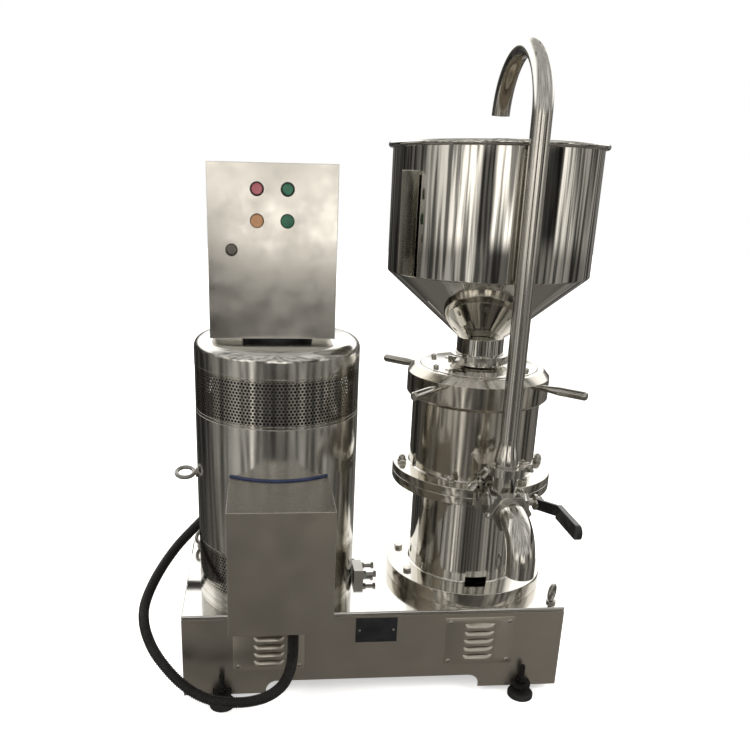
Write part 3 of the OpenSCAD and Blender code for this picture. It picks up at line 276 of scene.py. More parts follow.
# Black finish on the inner faces of the motor cover and bands: painted shade that swallows the light behind the
# perforations
INSIDE_PAINTED_SHADE = Coated("black_deadening_paint", "0c0c0c", "161615", 0.9, 2.0, 60.0)
# Grey paint on the cast iron of the motor and the pulleys, tinted darker as painted shade so that the motor seen
# through the perforations stays dark
GREY_IRON_DARKENED_AS_SHADE = Coated("painted_grey_cast_iron", "292b2d", "3a3c3e", 0.55, 1.6, 60.0)
# Moulded black rubber
BLACK_RUBBER = Coated("moulded_black_rubber", "141413", "25241f", 0.75, 0.6, 30.0)
# Extruded black PVC conduit with a dull sheen
BLACK_PVC = Coated("ribbed_black_pvc", "0f0e0d", "1b1917", 0.42, 0.9, 15.0)
# Dipped black vinyl of the lever grip: soft gloss
BLACK_VINYL = Coated("dipped_black_vinyl", "0d0d0e", "18181a", 0.3, 1.5, 20.0, coat=0.2)
# Black anodised aluminium plate, left bare
BLACK_PLATE = Coated("black_anodised_plate", "17181a", "26282a", 0.4, 0.5, 8.0, metallic=0.3)
# Blue vinyl edge trim, dulled by handling
BLUE_TRIM = Coated("blue_vinyl_trim", "1c2640", "343f5a", 0.5, 1.0, 15.0)
# Acrylic lenses and button caps, matted by wear
RED_ACRYLIC = Coated("red_acrylic", "743a40", "8c565a", 0.35, 2.0, 6.0, coat=0.2)
GREEN_ACRYLIC = Coated("green_acrylic", "17402f", "2c6a4d", 0.35, 2.0, 6.0, coat=0.2)
AMBER_ACRYLIC = Coated("amber_acrylic", "7a5538", "92704f", 0.4, 2.0, 6.0, coat=0.2)
# Varnished copper winding
COPPER_WINDING = Coated("varnished_copper_winding", "7a4a28", "8f5a34", 0.35, 1.5, 120.0, metallic=0.5)
# Moulded housings of the switchgear
GREY_MOULDING = Coated("grey_moulded_plastic", "bdb6a4", "aaa493", 0.5, 1.0, 15.0)


def at(node: str) -> tuple[Vector, Vector, Vector]:
    """Gives a node's place.

    Args:
        node: The node's name.

    Returns:
        Its lowest corner, its highest corner and its centre, in metres.
    """
    low, high = (Vector(c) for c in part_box(node))
    return low, high, (low + high) / 2


def upright(spot: Vector) -> Matrix:
    """Gives the upright axis through a spot, from the floor."""
    return Matrix.Translation((spot.x, spot.y, 0.0))


def to_front(spot: Vector) -> Matrix:
    """Gives the place at a spot whose Z axis looks to the front."""
    return Matrix.Translation(spot) @ Matrix.Rotation(QUARTER, 4, "X")


def arc(turn: float, steps: int) -> list[float]:
    """Gives evenly spaced values from zero to a turn, both included."""
    return [turn * k / steps for k in range(steps + 1)]


def circle(radius: float, sides: int, start: float = 0.0) -> Outline:
    """Gives the corners of a regular polygon about the origin."""
    return [(radius * math.cos(start + t), radius * math.sin(start + t)) for t in arc(math.tau, sides)[:-1]]


def mm(*points: tuple[float, float]) -> Outline:
    """Gives an outline whose points are written in millimetres."""
    return [(x * MM, z * MM) for x, z in points]


def join(work: bmesh.types.BMesh, a: Sequence[bmesh.types.BMVert], b: Sequence[bmesh.types.BMVert],
         closed: bool = True) -> None:
    """Joins two rows of points by four-sided faces.

    Args:
        work: The bmesh that gets the faces.
        a: One row.
        b: The other row, with as many points.
        closed: Joins the ends of the rows too.
    """
    for k in range(len(a) if closed else len(a) - 1):
        n = (k + 1) % len(a)
        work.faces.new((a[k], a[n], b[n], b[k]))


def break_edges(work: bmesh.types.BMesh, edges: Sequence[bmesh.types.BMEdge], width: float, steps: int = 2) -> None:
    """Rounds edges over a width."""
    bmesh.ops.bevel(work, geom=edges, offset=width, offset_type="OFFSET", segments=steps, profile=0.5,
                    affect="EDGES", clamp_overlap=True)


def stand(name: str, data: bpy.types.ID) -> Piece:
    """Puts a new object in the scene.

    Args:
        name: The object's name.
        data: Its mesh, curve, camera or light.

    Returns:
        The object.
    """
    made = bpy.data.objects.new(name, data)
    bpy.context.scene.collection.objects.link(made)
    return made


def shade(mesh: bpy.types.Mesh, degrees: float = 32.0) -> None:
    """Shades a mesh smooth, keeping edges sharper than the given angle."""
    mesh.shade_smooth()
    mesh.set_sharp_from_angle(angle=math.radians(degrees))


def link(name: str, work: bmesh.types.BMesh, degrees: float = 32.0) -> Piece:
    """Turns a bmesh into a linked object.

    Args:
        name: The piece's name.
        work: The bmesh, which is freed.
        degrees: Edges sharper than this stay sharp.

    Returns:
        The new object.
    """
    mesh = bpy.data.meshes.new(name)
    work.to_mesh(mesh)
    work.free()
    shade(mesh, degrees)
    return stand(name, mesh)


def settle(piece: Piece, finish: Finish, *nodes: str, body: str | None = None) -> Piece:
    """Gives a piece its finish and its body, and hides the nodes that it stands for.

    Args:
        piece: The finished mesh.
        finish: What it is made of.
        *nodes: The nodes that it replaces.
        body: The body that it rides on, where it replaces no node.

    Returns:
        The piece.
    """
    if not piece.data.materials:
        piece.data.materials.append(finish.material())
    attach(piece, body or BODY_OF[nodes[0]])
    if nodes:
        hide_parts(*nodes)
    LOG.info("%s: %d faces, %s", piece.name, len(piece.data.polygons), finish.name)
    return piece


FaceTest = Callable[[bpy.types.MeshPolygon], bool]


def inwards(axis: Vector) -> FaceTest:
    """Gives the test for faces that look to an upright axis.

    Args:
        axis: A point of the axis.

    Returns:
        The test.
    """
    def test(face: bpy.types.MeshPolygon) -> bool:
        """Tells whether the face looks inwards."""
        to_axis = Vector((axis.x - face.center.x, axis.y - face.center.y, 0.0))
        return face.normal.dot(to_axis.normalized()) > 0.5
    return test


def rims(axis: Vector, least: float) -> FaceTest:
    """Gives the test for upright faces far from an upright axis.

    Args:
        axis: A point of the axis.
        least: Least distance from it.

    Returns:
        The test.
    """
    def test(face: bpy.types.MeshPolygon) -> bool:
        """Tells whether the face is on a rim."""
        away = math.hypot(face.center.x - axis.x, face.center.y - axis.y)
        return abs(face.normal.z) < 0.5 and away > least
    return test


def face_finish(piece: Piece, finish: Finish, other: Finish, chosen: FaceTest) -> Piece:
    """Gives a piece two finishes.

    Args:
        piece: The mesh.
        finish: What most of it shows.
        other: What the chosen faces show.
        chosen: Picks the faces of the other finish.

    Returns:
        The piece.
    """
    piece.data.materials.append(finish.material())
    piece.data.materials.append(other.material())
    for face in piece.data.polygons:
        face.material_index = int(chosen(face))
    return piece


def keep(finish: Finish, *nodes: str) -> None:
    """Leaves nodes as they are and gives them a finish.

    Args:
        finish: What they are made of.
        *nodes: The nodes.
    """
    for name in nodes:
        data = frame["nodes"][name].data
        data.materials.clear()
        data.materials.append(finish.material())
        LOG.info("%s kept, %s", name, finish.name)


def rounded(corners: Sequence[tuple[float, float]], radius: float, steps: int = 4) -> Outline:
    """Rounds the corners of a closed outline.

    Args:
        corners: The outline's corners; corners on the axis stay sharp.
        radius: Largest fillet radius.
        steps: Edges of each fillet.

    Returns:
        The outline with an arc at each corner.
    """
    made: Outline = []
    count = len(corners)
    most = 0.45
    for i, corner in enumerate(corners):
        here, back, ahead = Vector(corner), Vector(corners[i - 1]), Vector(corners[(i + 1) % count])
        a, b = back - here, ahead - here
        half = 0.0 if here.x < UM or a.length < UM or b.length < UM else a.angle(b) / 2
        if not 0.0 < half <= STRAIGHT_CORNER:
            made.append(tuple(here))
            continue
        reach = min(radius / math.tan(half), most * a.length, most * b.length)
        p, q = here + a.normalized() * reach, here + b.normalized() * reach
        for k in range(steps + 1):
            t = k / steps
            made.append(tuple((1 - t) ** 2 * p + 2 * t * (1 - t) * here + t * t * q))
    return made


def revolve(name: str, outline: Outline, place: Matrix, segments: int = 160) -> Piece:
    """Turns a closed outline about the Z axis of a place.

    Args:
        name: The piece's name.
        outline: Radius and height of each point, in metres.
        place: Where the axis stands.
        segments: Facets round the axis.

    Returns:
        The turned piece.
    """
    work = bmesh.new()
    rings = []
    for radius, height in outline:
        if radius < UM:
            rings.append([work.verts.new((0, 0, height))] * segments)
            continue
        rings.append([work.verts.new((x, y, height)) for x, y in circle(radius, segments)])
    for i, ring in enumerate(rings):
        other = rings[(i + 1) % len(rings)]
        if ring[0] is ring[1] and other[0] is other[1]:
            continue
        for k in range(segments):
            n = (k + 1) % segments
            quad = list(dict.fromkeys((ring[k], ring[n], other[n], other[k])))
            work.faces.new(quad)
    bmesh.ops.recalc_face_normals(work, faces=work.faces)
    work.transform(place)
    return link(name, work)


def sweep(name: str, path: Sequence[Vector], radius: float, wall: float, sides: int = 64) -> Piece:
    """Sweeps a hollow tube along a path that lies in one upright plane across X.

    Args:
        name: The piece's name.
        path: Centre points.
        radius: Outside radius.
        wall: Wall thickness.
        sides: Facets round the tube.

    Returns:
        The tube, closed at both ends by its wall.
    """
    work = bmesh.new()
    across = Vector((1, 0, 0))
    skins = []
    for reach in (radius, radius - wall):
        rings = []
        for i, point in enumerate(path):
            ahead = (path[min(i + 1, len(path) - 1)] - path[max(i - 1, 0)]).normalized()
            up = ahead.cross(across)
            rings.append([work.verts.new(point + x * across + z * up) for x, z in circle(reach, sides)])
        skins.append(rings)
    for rings in skins:
        for a, b in zip(rings, rings[1:]):
            join(work, a, b)
    for end in (0, -1):
        join(work, skins[0][end], skins[1][end])
    bmesh.ops.recalc_face_normals(work, faces=work.faces)
    return link(name, work)


def copy_of(name: str, node: str, bevel: float = 0.0, least: float = 0.0) -> Piece:
    """Copies a node's solid with welded faces and broken outer edges.

    Args:
        name: The piece's name.
        node: The node to copy.
        bevel: Width of the broken edges, in metres.
        least: Length of the shortest edge that is broken.

    Returns:
        The copy.
    """
    work = bmesh.new()
    work.from_mesh(frame["nodes"][node].data)
    bmesh.ops.remove_doubles(work, verts=work.verts, dist=UM)
    if bevel:
        bmesh.ops.dissolve_limit(work, angle_limit=FLAT_EDGE, verts=work.verts, edges=work.edges)
        sharp = [e for e in work.edges if e.is_manifold and e.is_convex and e.calc_length() >= least
                 and e.calc_face_angle(0.0) > SHARP_EDGE]
        break_edges(work, sharp, bevel)
        bmesh.ops.triangulate(work, faces=[f for f in work.faces if len(f.verts) > 4])
    made = link(name, work)
    if bevel:
        made.modifiers.new("even_shading", "WEIGHTED_NORMAL").keep_sharp = True
    return made


def merged(name: str, *pieces: Piece) -> Piece:
    """Joins pieces into one.

    Args:
        name: The joined piece's name.
        *pieces: The pieces, which are used up.

    Returns:
        The joined piece.
    """
    work = bmesh.new()
    for piece in pieces:
        work.from_mesh(piece.data)
        bpy.data.objects.remove(piece)
    return link(name, work)


def cut_out(piece: Piece, cutter: Piece) -> Piece:
    """Cuts one closed shape out of another.

    Args:
        piece: The shape that is cut.
        cutter: The shape that is taken away, which is used up.

    Returns:
        The piece, with a new mesh.
    """
    knife = piece.modifiers.new("cut", "BOOLEAN")
    knife.object = cutter
    knife.solver = "EXACT"
    seen = piece.evaluated_get(bpy.context.evaluated_depsgraph_get())
    mesh = bpy.data.meshes.new_from_object(seen)
    piece.modifiers.clear()
    piece.data = mesh
    shade(mesh)
    bpy.data.objects.remove(cutter)
    return piece


def bar(name: str, low: Vector, high: Vector, bevel: float = 0.0) -> Piece:
    """Makes a rectangular bar.

    Args:
        name: The piece's name.
        low: Its lowest corner.
        high: Its highest corner.
        bevel: Width of its broken edges.

    Returns:
        The bar.
    """
    work = bmesh.new()
    bmesh.ops.create_cube(work, size=1.0)
    size, middle = Vector(high) - Vector(low), (Vector(high) + Vector(low)) / 2
    work.transform(Matrix.Translation(middle) @ Matrix.Diagonal((*size, 1.0)))
    if bevel:
        break_edges(work, work.edges[:], bevel, steps=3)
    return link(name, work)


def hexagon(name: str, radius: float, low: float, high: float) -> Piece:
    """Makes a hexagon bar on the Z axis, chamfered at both ends as a nut is.

    Args:
        name: The piece's name.
        radius: Radius over its corners.
        low: Height of its lower end.
        high: Height of its upper end.

    Returns:
        The bar.
    """
    work = bmesh.new()
    ends = []
    chamfer = NUT_CHAMFER * radius
    for height, reach in ((low, NUT_END), (low + chamfer, 1.0), (high - chamfer, 1.0), (high, NUT_END)):
        ends.append([work.verts.new((x, y, height)) for x, y in circle(reach * radius, 6)])
    for a, b in zip(ends, ends[1:]):
        join(work, a, b)
    work.faces.new(reversed(ends[0]))
    work.faces.new(ends[-1])
    return link(name, work)


def new_tree(name: str, **sockets: str) -> tuple[Tree, bpy.types.Node]:
    """Starts a geometry tree.

    Args:
        name: The tree's name.
        **sockets: Input name to socket type; a geometry input comes before them.

    Returns:
        The tree and its input node.
    """
    tree = bpy.data.node_groups.new(name, "GeometryNodeTree")
    tree.interface.new_socket("Geometry", in_out="INPUT", socket_type="NodeSocketGeometry")
    for key, kind in sockets.items():
        tree.interface.new_socket(key, in_out="INPUT", socket_type=kind)
    tree.interface.new_socket("Geometry", in_out="OUTPUT", socket_type="NodeSocketGeometry")
    return tree, add(tree, "NodeGroupInput")


def close_tree(tree: Tree, shape: Socket, finish: Socket) -> None:
    """Ends a tree in real geometry that carries its material.

    Args:
        tree: The geometry tree.
        shape: What it has made.
        finish: The input with the material.
    """
    real = add(tree, "GeometryNodeRealizeInstances", {"Geometry": shape})
    dressed = add(tree, "GeometryNodeSetMaterial", {"Geometry": real, "Material": finish})
    add(tree, "NodeGroupOutput", {"Geometry": dressed})


def grow(holder: Piece, tree: Tree, wall: float = 0.0, **inputs: object) -> Piece:
    """Runs a geometry tree and keeps the result as a plain mesh.

    Args:
        holder: The object that the tree starts from, which is used up.
        tree: The geometry tree.
        wall: Sheet thickness given to the result, inwards.
        **inputs: Values of the tree's named inputs.

    Returns:
        A new object with the grown mesh.
    """
    sockets = {s.name: s.identifier for s in tree.interface.items_tree
               if s.item_type == "SOCKET" and s.in_out == "INPUT"}
    step = holder.modifiers.new("grow", "NODES")
    step.node_group = tree
    for key, value in inputs.items():
        step[sockets[key]] = value
    if wall:
        sheet = holder.modifiers.new("wall", "SOLIDIFY")
        sheet.thickness = wall
        sheet.offset = -1.0
    name = holder.name
    seen = holder.evaluated_get(bpy.context.evaluated_depsgraph_get())
    mesh = bpy.data.meshes.new_from_object(seen)
    bpy.data.objects.remove(holder)
    return stand(name, mesh)


def repeat_tree() -> Tree:
    """Builds the tree that sets one shape on every point, turned as the point says.

    Returns:
        The tree, the same one each time.
    """
    if "repeat_shape" in bpy.data.node_groups:
        return bpy.data.node_groups["repeat_shape"]
    tree, start = new_tree("repeat_shape", Shape="NodeSocketObject", Finish="NodeSocketMaterial")
    turn = add(tree, "GeometryNodeInputNamedAttribute", {"Name": "turn"}, data_type="FLOAT_VECTOR")
    shape = add(tree, "GeometryNodeObjectInfo", {"Object": start.outputs["Shape"]}, transform_space="ORIGINAL")
    spread = add(tree, "GeometryNodeInstanceOnPoints", {"Points": start.outputs["Geometry"],
                 "Instance": shape.outputs["Geometry"], "Rotation": turn.outputs["Attribute"]})
    close_tree(tree, spread.outputs["Instances"], start.outputs["Finish"])
    return tree


def repeat(name: str, shape: Piece, spots: Spots, finish: Finish) -> Piece:
    """Sets a shape at several spots.

    Args:
        name: The piece's name.
        shape: The shape about the origin, which is used up.
        spots: Place and turn, as angles about X, Y and Z, of each copy.
        finish: What the copies are made of.

    Returns:
        All copies as one piece.
    """
    mesh = bpy.data.meshes.new(name)
    mesh.from_pydata([spot for spot, _ in spots], [], [])
    turns = mesh.attributes.new("turn", "FLOAT_VECTOR", "POINT")
    for entry, (_, turn) in zip(turns.data, spots):
        entry.vector = turn
    made = grow(stand(name, mesh), repeat_tree(), Shape=shape, Finish=finish.material())
    bpy.data.objects.remove(shape)
    return made


def scatter(name: str, shape: Piece, spots: Spots, finish: Finish, *nodes: str, body: str | None = None) -> None:
    """Sets a shape at several spots and settles all copies as one piece.

    Args:
        name: The piece's name.
        shape: The shape about the origin, which is used up.
        spots: Place and turn of each copy.
        finish: What the copies are made of.
        *nodes: The nodes that they replace.
        body: The body that they ride on, where they replace no node.
    """
    settle(repeat(name, shape, spots, finish), finish, *nodes, body=body)


def dress(finish: Finish, name: str, node: str, bevel: float, least: float = 0.0) -> None:
    """Settles a copy of a node with broken edges.

    Args:
        finish: What it is made of.
        name: The piece's name.
        node: The node that it copies and replaces.
        bevel: Width of the broken edges, in millimetres.
        least: Length of the shortest edge that is broken, in metres.
    """
    settle(copy_of(name, node, bevel * MM, least), finish, node)


def circle_of(centre: Vector, radius: float, height: float, degrees: Sequence[float],
              outward: bool = False) -> Spots:
    """Gives spots on a circle about an upright axis.

    Args:
        centre: A point of the axis.
        radius: Radius of the circle.
        height: Height of the spots.
        degrees: Angle of each spot, from +X.
        outward: Lays each copy's Z axis outwards instead of upwards.

    Returns:
        Place and turn of each spot.
    """
    spots = []
    for angle in map(math.radians, degrees):
        spot = Vector((centre.x + radius * math.cos(angle), centre.y + radius * math.sin(angle), height))
        spots.append((spot, (0.0, QUARTER if outward else 0.0, angle)))
    return spots


@dataclass
class Conduit:
    """Ribbed conduit from under the terminal box, round the side and up the rear into the control box."""

    radius: float = 12.5 * MM
    rib_depth: float = 1.6 * MM
    rib_pitch: float = 5.0 * MM
    sides: int = 18
    shift: Triple = (4.7, 99.5, 0.0)
    route: tuple[Triple, ...] = (
        (-209.5, -300, 258), (-209.5, -300, 200), (-216, -300, 150), (-236, -299, 108), (-276, -296, 78),
        (-335, -290, 65), (-400, -278, 69), (-456, -256, 93), (-503, -225, 130), (-533, -188, 158),
        (-552, -140, 185), (-554, -85, 208), (-532, -20, 244), (-492, 45, 285), (-442, 105, 320),
        (-390, 160, 354), (-335, 200, 396), (-285, 224, 450), (-258, 232, 520), (-250, 232, 610),
        (-250, 232, 710), (-250, 230, 800), (-250, 220, 855), (-250, 196, 897), (-250, 160, 923), (-250, 115, 930))

    def line(self, steps: int = 10) -> list[Vector]:
        """Gives the smooth centre line.

        Args:
            steps: Points between two points of the route.

        Returns:
            Points of the line in the row frame, in metres.
        """
        spots = [(Vector(p) + Vector(self.shift)) * MM for p in self.route]
        last = len(spots) - 1
        made = []
        for i in range(last):
            a, b, c, d = (spots[min(max(i + k, 0), last)] for k in (-1, 0, 1, 2))
            for t in (j / steps for j in range(steps)):
                made.append(0.5 * (2 * b + (c - a) * t + (2 * a - 5 * b + 4 * c - d) * t * t
                                   + (3 * b - a - 3 * c + d) * t ** 3))
        return made + [spots[last]]

    def rib_tree(self) -> Tree:
        """Builds the tree that sweeps a ribbed tube along a curve.

        Returns:
            The tree.
        """
        tree, start = new_tree("ribbed_hose", Pitch="NodeSocketFloat", Radius="NodeSocketFloat",
                               Depth="NodeSocketFloat", Sides="NodeSocketInt", Finish="NodeSocketMaterial")
        names = start.outputs
        rings = 4.0
        step = add(tree, "ShaderNodeMath", {0: names["Pitch"], 1: rings}, operation="DIVIDE")
        fine = add(tree, "GeometryNodeResampleCurve", {"Curve": names["Geometry"], "Length": step}, mode="LENGTH")
        index = add(tree, "GeometryNodeInputIndex")
        turn = add(tree, "ShaderNodeMath", {0: index, 1: rings}, operation="MODULO")
        valley = add(tree, "ShaderNodeMath", {0: turn, 1: 1.5}, operation="GREATER_THAN")
        lost = add(tree, "ShaderNodeMath", {0: valley, 1: names["Depth"]}, operation="MULTIPLY")
        reach = add(tree, "ShaderNodeMath", {0: names["Radius"], 1: lost}, operation="SUBTRACT")
        sized = add(tree, "GeometryNodeSetCurveRadius", {"Curve": fine, "Radius": reach})
        ring = add(tree, "GeometryNodeCurvePrimitiveCircle", {"Resolution": names["Sides"], "Radius": 1.0})
        skin = add(tree, "GeometryNodeCurveToMesh", {"Curve": sized, "Profile Curve": ring, "Fill Caps": True})
        if "Scale" in skin.inputs:
            tree.links.new(reach.outputs[0], skin.inputs["Scale"])
        close_tree(tree, skin.outputs[0], names["Finish"])
        return tree

    def build(self) -> None:
        line = self.line()
        curve = bpy.data.curves.new("ribbed_conduit", "CURVE")
        curve.dimensions = "3D"
        spline = curve.splines.new("POLY")
        spline.points.add(len(line) - 1)
        for point, spot in zip(spline.points, line):
            point.co = (*spot, 1.0)
        hose = grow(stand("ribbed_conduit", curve), self.rib_tree(), Pitch=self.rib_pitch, Radius=self.radius,
                    Depth=self.rib_depth, Sides=self.sides, Finish=BLACK_PVC.material())
        shade(hose.data, SOFT_EDGE)
        settle(hose, BLACK_PVC, "conduit")


@dataclass
class Base:
    """Louvred base box with its plates, feet, eyes and fasteners."""

    panel_centres: tuple[float, float] = (-0.2553, 0.2427)
    panel_size: tuple[float, float] = (166 * MM, 126 * MM)
    panel_height: float = 149 * MM
    panel_sheet: float = 2 * MM
    louvre_count: int = 5
    louvre_width: float = 72 * MM
    louvre_depth: float = 8 * MM
    louvre_rise: float = 13 * MM
    louvre_pitch: float = 21 * MM
    louvre_sheet: float = 1.2 * MM
    slot: tuple[float, float] = (4 * MM, 5 * MM)
    nameplate: float = 1.2 * MM
    screw_reach: tuple[float, float] = (71 * MM, 52 * MM)
    rivet_reach: float = 40 * MM
    stud_radius: float = 6 * MM
    nut_radius: float = 11 * MM
    thread_top: float = 82 * MM
    stud_top: float = 84 * MM
    pad_radius: float = 30 * MM
    thread_pitch: float = 2 * MM
    plate: float = 10 * MM
    mill_circle: float = 167 * MM
    mill_flange: float = 36 * MM
    motor_circle: float = 152 * MM
    motor_flange: float = 18 * MM
    mill_bolts: tuple[float, ...] = (22.5, 157.5, 202.5, 337.5)
    motor_bolts: tuple[float, ...] = (45, 135, 225, 315)

    def build(self) -> None:
        """Builds every piece of the base."""
        dress(POLISHED_PLATE, "base_top_plate", "base_plate", 3, least=0.009)
        dress(SATIN_SHEET, "base_walls", "base_skin", 2.5, least=0.1)
        keep(GREY_IRON_DARKENED_AS_SHADE, "base_frame")
        self.panels()
        self.fasteners()
        self.feet()
        self.eyes()
        dress(MILLED_STEEL, "belt_tension_block", "belt_tensioner", 0.8)

    def louvre(self) -> Piece:
        """Makes one pressed louvre: a swelling that opens downwards, fading into the sheet at its ends and top.

        Returns:
            The louvre about the origin.
        """
        across, along = 6, 24
        end_power, top_power, taper = 6, 3, 0.35
        work = bmesh.new()
        rows = []
        for v in arc(1.0, across):
            row = []
            for u in (turn - 1 for turn in arc(2.0, along)):
                swell = (1 - u ** end_power) * (1 - (1 - v) ** top_power)
                height = self.louvre_rise * (0.5 - v) * (1 - taper * u * u)
                row.append(work.verts.new((u * self.louvre_width / 2, -self.louvre_depth * swell, height)))
            rows.append(row)
        for a, b in zip(rows, rows[1:]):
            join(work, b, a, closed=False)
        back = bmesh.ops.duplicate(work, geom=work.faces[:])
        inner = [v for v in back["geom"] if isinstance(v, bmesh.types.BMVert)]
        bmesh.ops.translate(work, verts=inner, vec=(0.0, self.louvre_sheet, 0.0))
        bmesh.ops.reverse_faces(work, faces=[f for f in back["geom"] if isinstance(f, bmesh.types.BMFace)])
        rim = [e for e in work.edges if e.is_boundary]
        bmesh.ops.bridge_loops(work, edges=rim)
        bmesh.ops.recalc_face_normals(work, faces=work.faces)
        return link("louvre", work, SOFT_EDGE)

    def louvre_levels(self) -> list[float]:
        """Gives each louvre's height above the middle of its panel."""
        return [(k - (self.louvre_count - 1) / 2) * self.louvre_pitch for k in range(self.louvre_count)]

    def panel(self, middle: Vector) -> Piece:
        """Makes one access panel with a slot behind every louvre.

        Args:
            middle: Centre of the panel's rear face.

        Returns:
            The slotted plate.
        """
        width, height = self.panel_size
        gap = self.louvre_width / 2 - 3 * MM
        xs = [-width / 2, -gap, gap, width / 2]
        zs, slots = [-height / 2], []
        for level in self.louvre_levels():
            slots.append(len(zs))
            zs += [level - self.slot[0], level + self.slot[1]]
        zs.append(height / 2)
        work = bmesh.new()
        grid = [[work.verts.new((x, 0.0, z)) for x in xs] for z in zs]
        for j in range(len(zs) - 1):
            for i in range(3):
                if i == 1 and j in slots:
                    continue
                work.faces.new((grid[j][i], grid[j][i + 1], grid[j + 1][i + 1], grid[j + 1][i]))
        front = bmesh.ops.extrude_face_region(work, geom=work.faces[:])
        moved = [v for v in front["geom"] if isinstance(v, bmesh.types.BMVert)]
        bmesh.ops.translate(work, verts=moved, vec=(0.0, -self.panel_sheet, 0.0))
        bmesh.ops.recalc_face_normals(work, faces=work.faces)
        close = 10 * UM
        rim = {v for v in work.verts
               if abs(abs(v.co.x) - width / 2) < close or abs(abs(v.co.z) - height / 2) < close}
        outer = [e for e in work.edges
                 if e.is_manifold and e.calc_face_angle(0.0) > SHARP_EDGE and rim.issuperset(e.verts)]
        break_edges(work, outer, 0.8 * MM)
        work.transform(Matrix.Translation(middle))
        return link("panel", work)

    def panels(self) -> None:
        """Builds the two louvred panels and the bare nameplate."""
        front = at("base_skin")[0].y
        middles = [Vector((x, front, self.panel_height)) for x in self.panel_centres]
        plates = merged("access_panel_sheets", *[self.panel(m) for m in middles])
        settle(plates, SATIN_SHEET, "access_panels")
        spots = [(m + Vector((0.0, -self.panel_sheet, level)), PLAIN)
                 for m in middles for level in self.louvre_levels()]
        scatter("pressed_louvres", self.louvre(), spots, SATIN_SHEET, body="machine")
        low, high, middle = at("nameplate")
        face = front - self.nameplate
        plate = bar("blank_nameplate", Vector((low.x, face, low.z)), Vector((high.x, front, high.z)), 0.5 * MM)
        settle(plate, BLACK_PLATE, "nameplate")
        rivet = revolve("rivet", rounded(mm((0, 0), (3.4, 0), (3, 1.2), (0, 1.8)), 0.6 * MM), Matrix(), 24)
        spots = [(Vector((middle.x + side * self.rivet_reach, face, middle.z)), TO_FRONT) for side in (-1, 1)]
        scatter("nameplate_rivets", rivet, spots, BRIGHT_FITTING, body="machine")

    def fasteners(self) -> None:
        """Builds the panel screws and the bolts that hold the motor and the mill."""
        front = at("base_skin")[0].y - self.panel_sheet
        head = mm((0, -5), (2, -5), (2, 0), (5, 0), (5, 1.6), (3.2, 3), (0, 3.4))
        screw = revolve("screw", rounded(head, 0.8 * MM), Matrix(), 32)
        for x, y in ((3.0, 0.6), (0.6, 3.0)):
            screw = cut_out(screw, bar("slot", MM * Vector((-x, -y, 1.6)), MM * Vector((x, y, 5))))
        spots = [(Vector((x + i * self.screw_reach[0], front, self.panel_height + k * self.screw_reach[1])), TO_FRONT)
                 for x in self.panel_centres for i in (-1, 1) for k in (-1, 1)]
        scatter("panel_cross_screws", screw, spots, BRIGHT_FITTING, "panel_screws")
        foot = at("pedestal")[0].z
        sets = []
        for name, node, radius, flange, degrees in (
                ("mill_bolts", "mill_housing", self.mill_circle, self.mill_flange, self.mill_bolts),
                ("motor_bolts", "motor_cover", self.motor_circle, self.motor_flange, self.motor_bolts)):
            spots = circle_of(at(node)[2], radius, foot + flange, degrees)
            sets.append(repeat(name, self.bolt(flange + self.plate), spots, BRIGHT_FITTING))
        settle(merged("base_bolt_set", *sets), BRIGHT_FITTING, "base_bolts")

    def bolt(self, grip: float) -> Piece:
        """Makes a hexagon bolt with its nut, head underside at the origin.

        Args:
            grip: Thickness that it holds together.

        Returns:
            The bolt.
        """
        end, top = -grip - 14 * MM, 0.5 * MM
        shank = rounded([(0, end), (self.stud_radius, end), (self.stud_radius, top), (0, top)], 0.8 * MM)
        return merged("bolt", revolve("shank", shank, Matrix(), 24), hexagon("head", self.nut_radius, 0.0, 8 * MM),
                      hexagon("nut", self.nut_radius, -grip - 10 * MM, -grip))

    def feet(self) -> None:
        """Builds the four levelling feet."""
        dress(BLACK_STEEL, "foot_lug_plates", "foot_lugs", 1.2)
        low, high, _ = at("foot_pads")
        radius, top = self.pad_radius, high.z
        spots = [(Vector((x, y, 0.0)), PLAIN) for x in (low.x + radius, high.x - radius)
                 for y in (low.y + radius, high.y - radius)]
        pad = rounded([(0, 0), (radius, 0), (radius, 10 * MM), (26 * MM, top), (0, top)], 2 * MM)
        scatter("foot_pad_discs", revolve("pad", pad, Matrix(), 64), spots, BLACK_RUBBER, "foot_pads")
        stud: Outline = [(0, top), (self.stud_radius, top)]
        crest, level = True, top
        while level < self.thread_top:
            stud.append((self.stud_radius - (0.0 if crest else 0.9 * MM), level))
            crest, level = not crest, level + self.thread_pitch / 2
        stud += [(self.stud_radius - 1 * MM, self.stud_top), (0, self.stud_top)]
        nuts = [hexagon("nut", self.nut_radius, under * MM, over * MM) for under, over in ((20, 29), (38, 47))]
        screw = merged("stud", revolve("thread", stud, Matrix(), 24), *nuts)
        scatter("levelling_studs", screw, spots, BLACK_STEEL, "levelling_screws")

    def eye(self, radius: float, wire: float, collar: float, rise: float, shank: float, thick: float) -> Piece:
        """Makes an eye bolt that stands on the origin.

        Args:
            radius: Radius of the ring's middle line.
            wire: Radius of the ring's bar.
            collar: Radius of the collar.
            rise: Height of the collar.
            shank: Length of the shank below the origin.
            thick: Radius of the shank.

        Returns:
            The eye bolt.
        """
        foot = rounded([(0, -shank), (thick, -shank), (thick, 0), (collar, 0), (collar, rise), (0, rise)], 1.2 * MM)
        loop = [(radius + x, z) for x, z in circle(wire, 20)]
        above = to_front(Vector((0, 0, rise + radius + wire - 1 * MM)))
        return merged("eye", revolve("foot", foot, Matrix(), 32), revolve("loop", loop, above, 56))

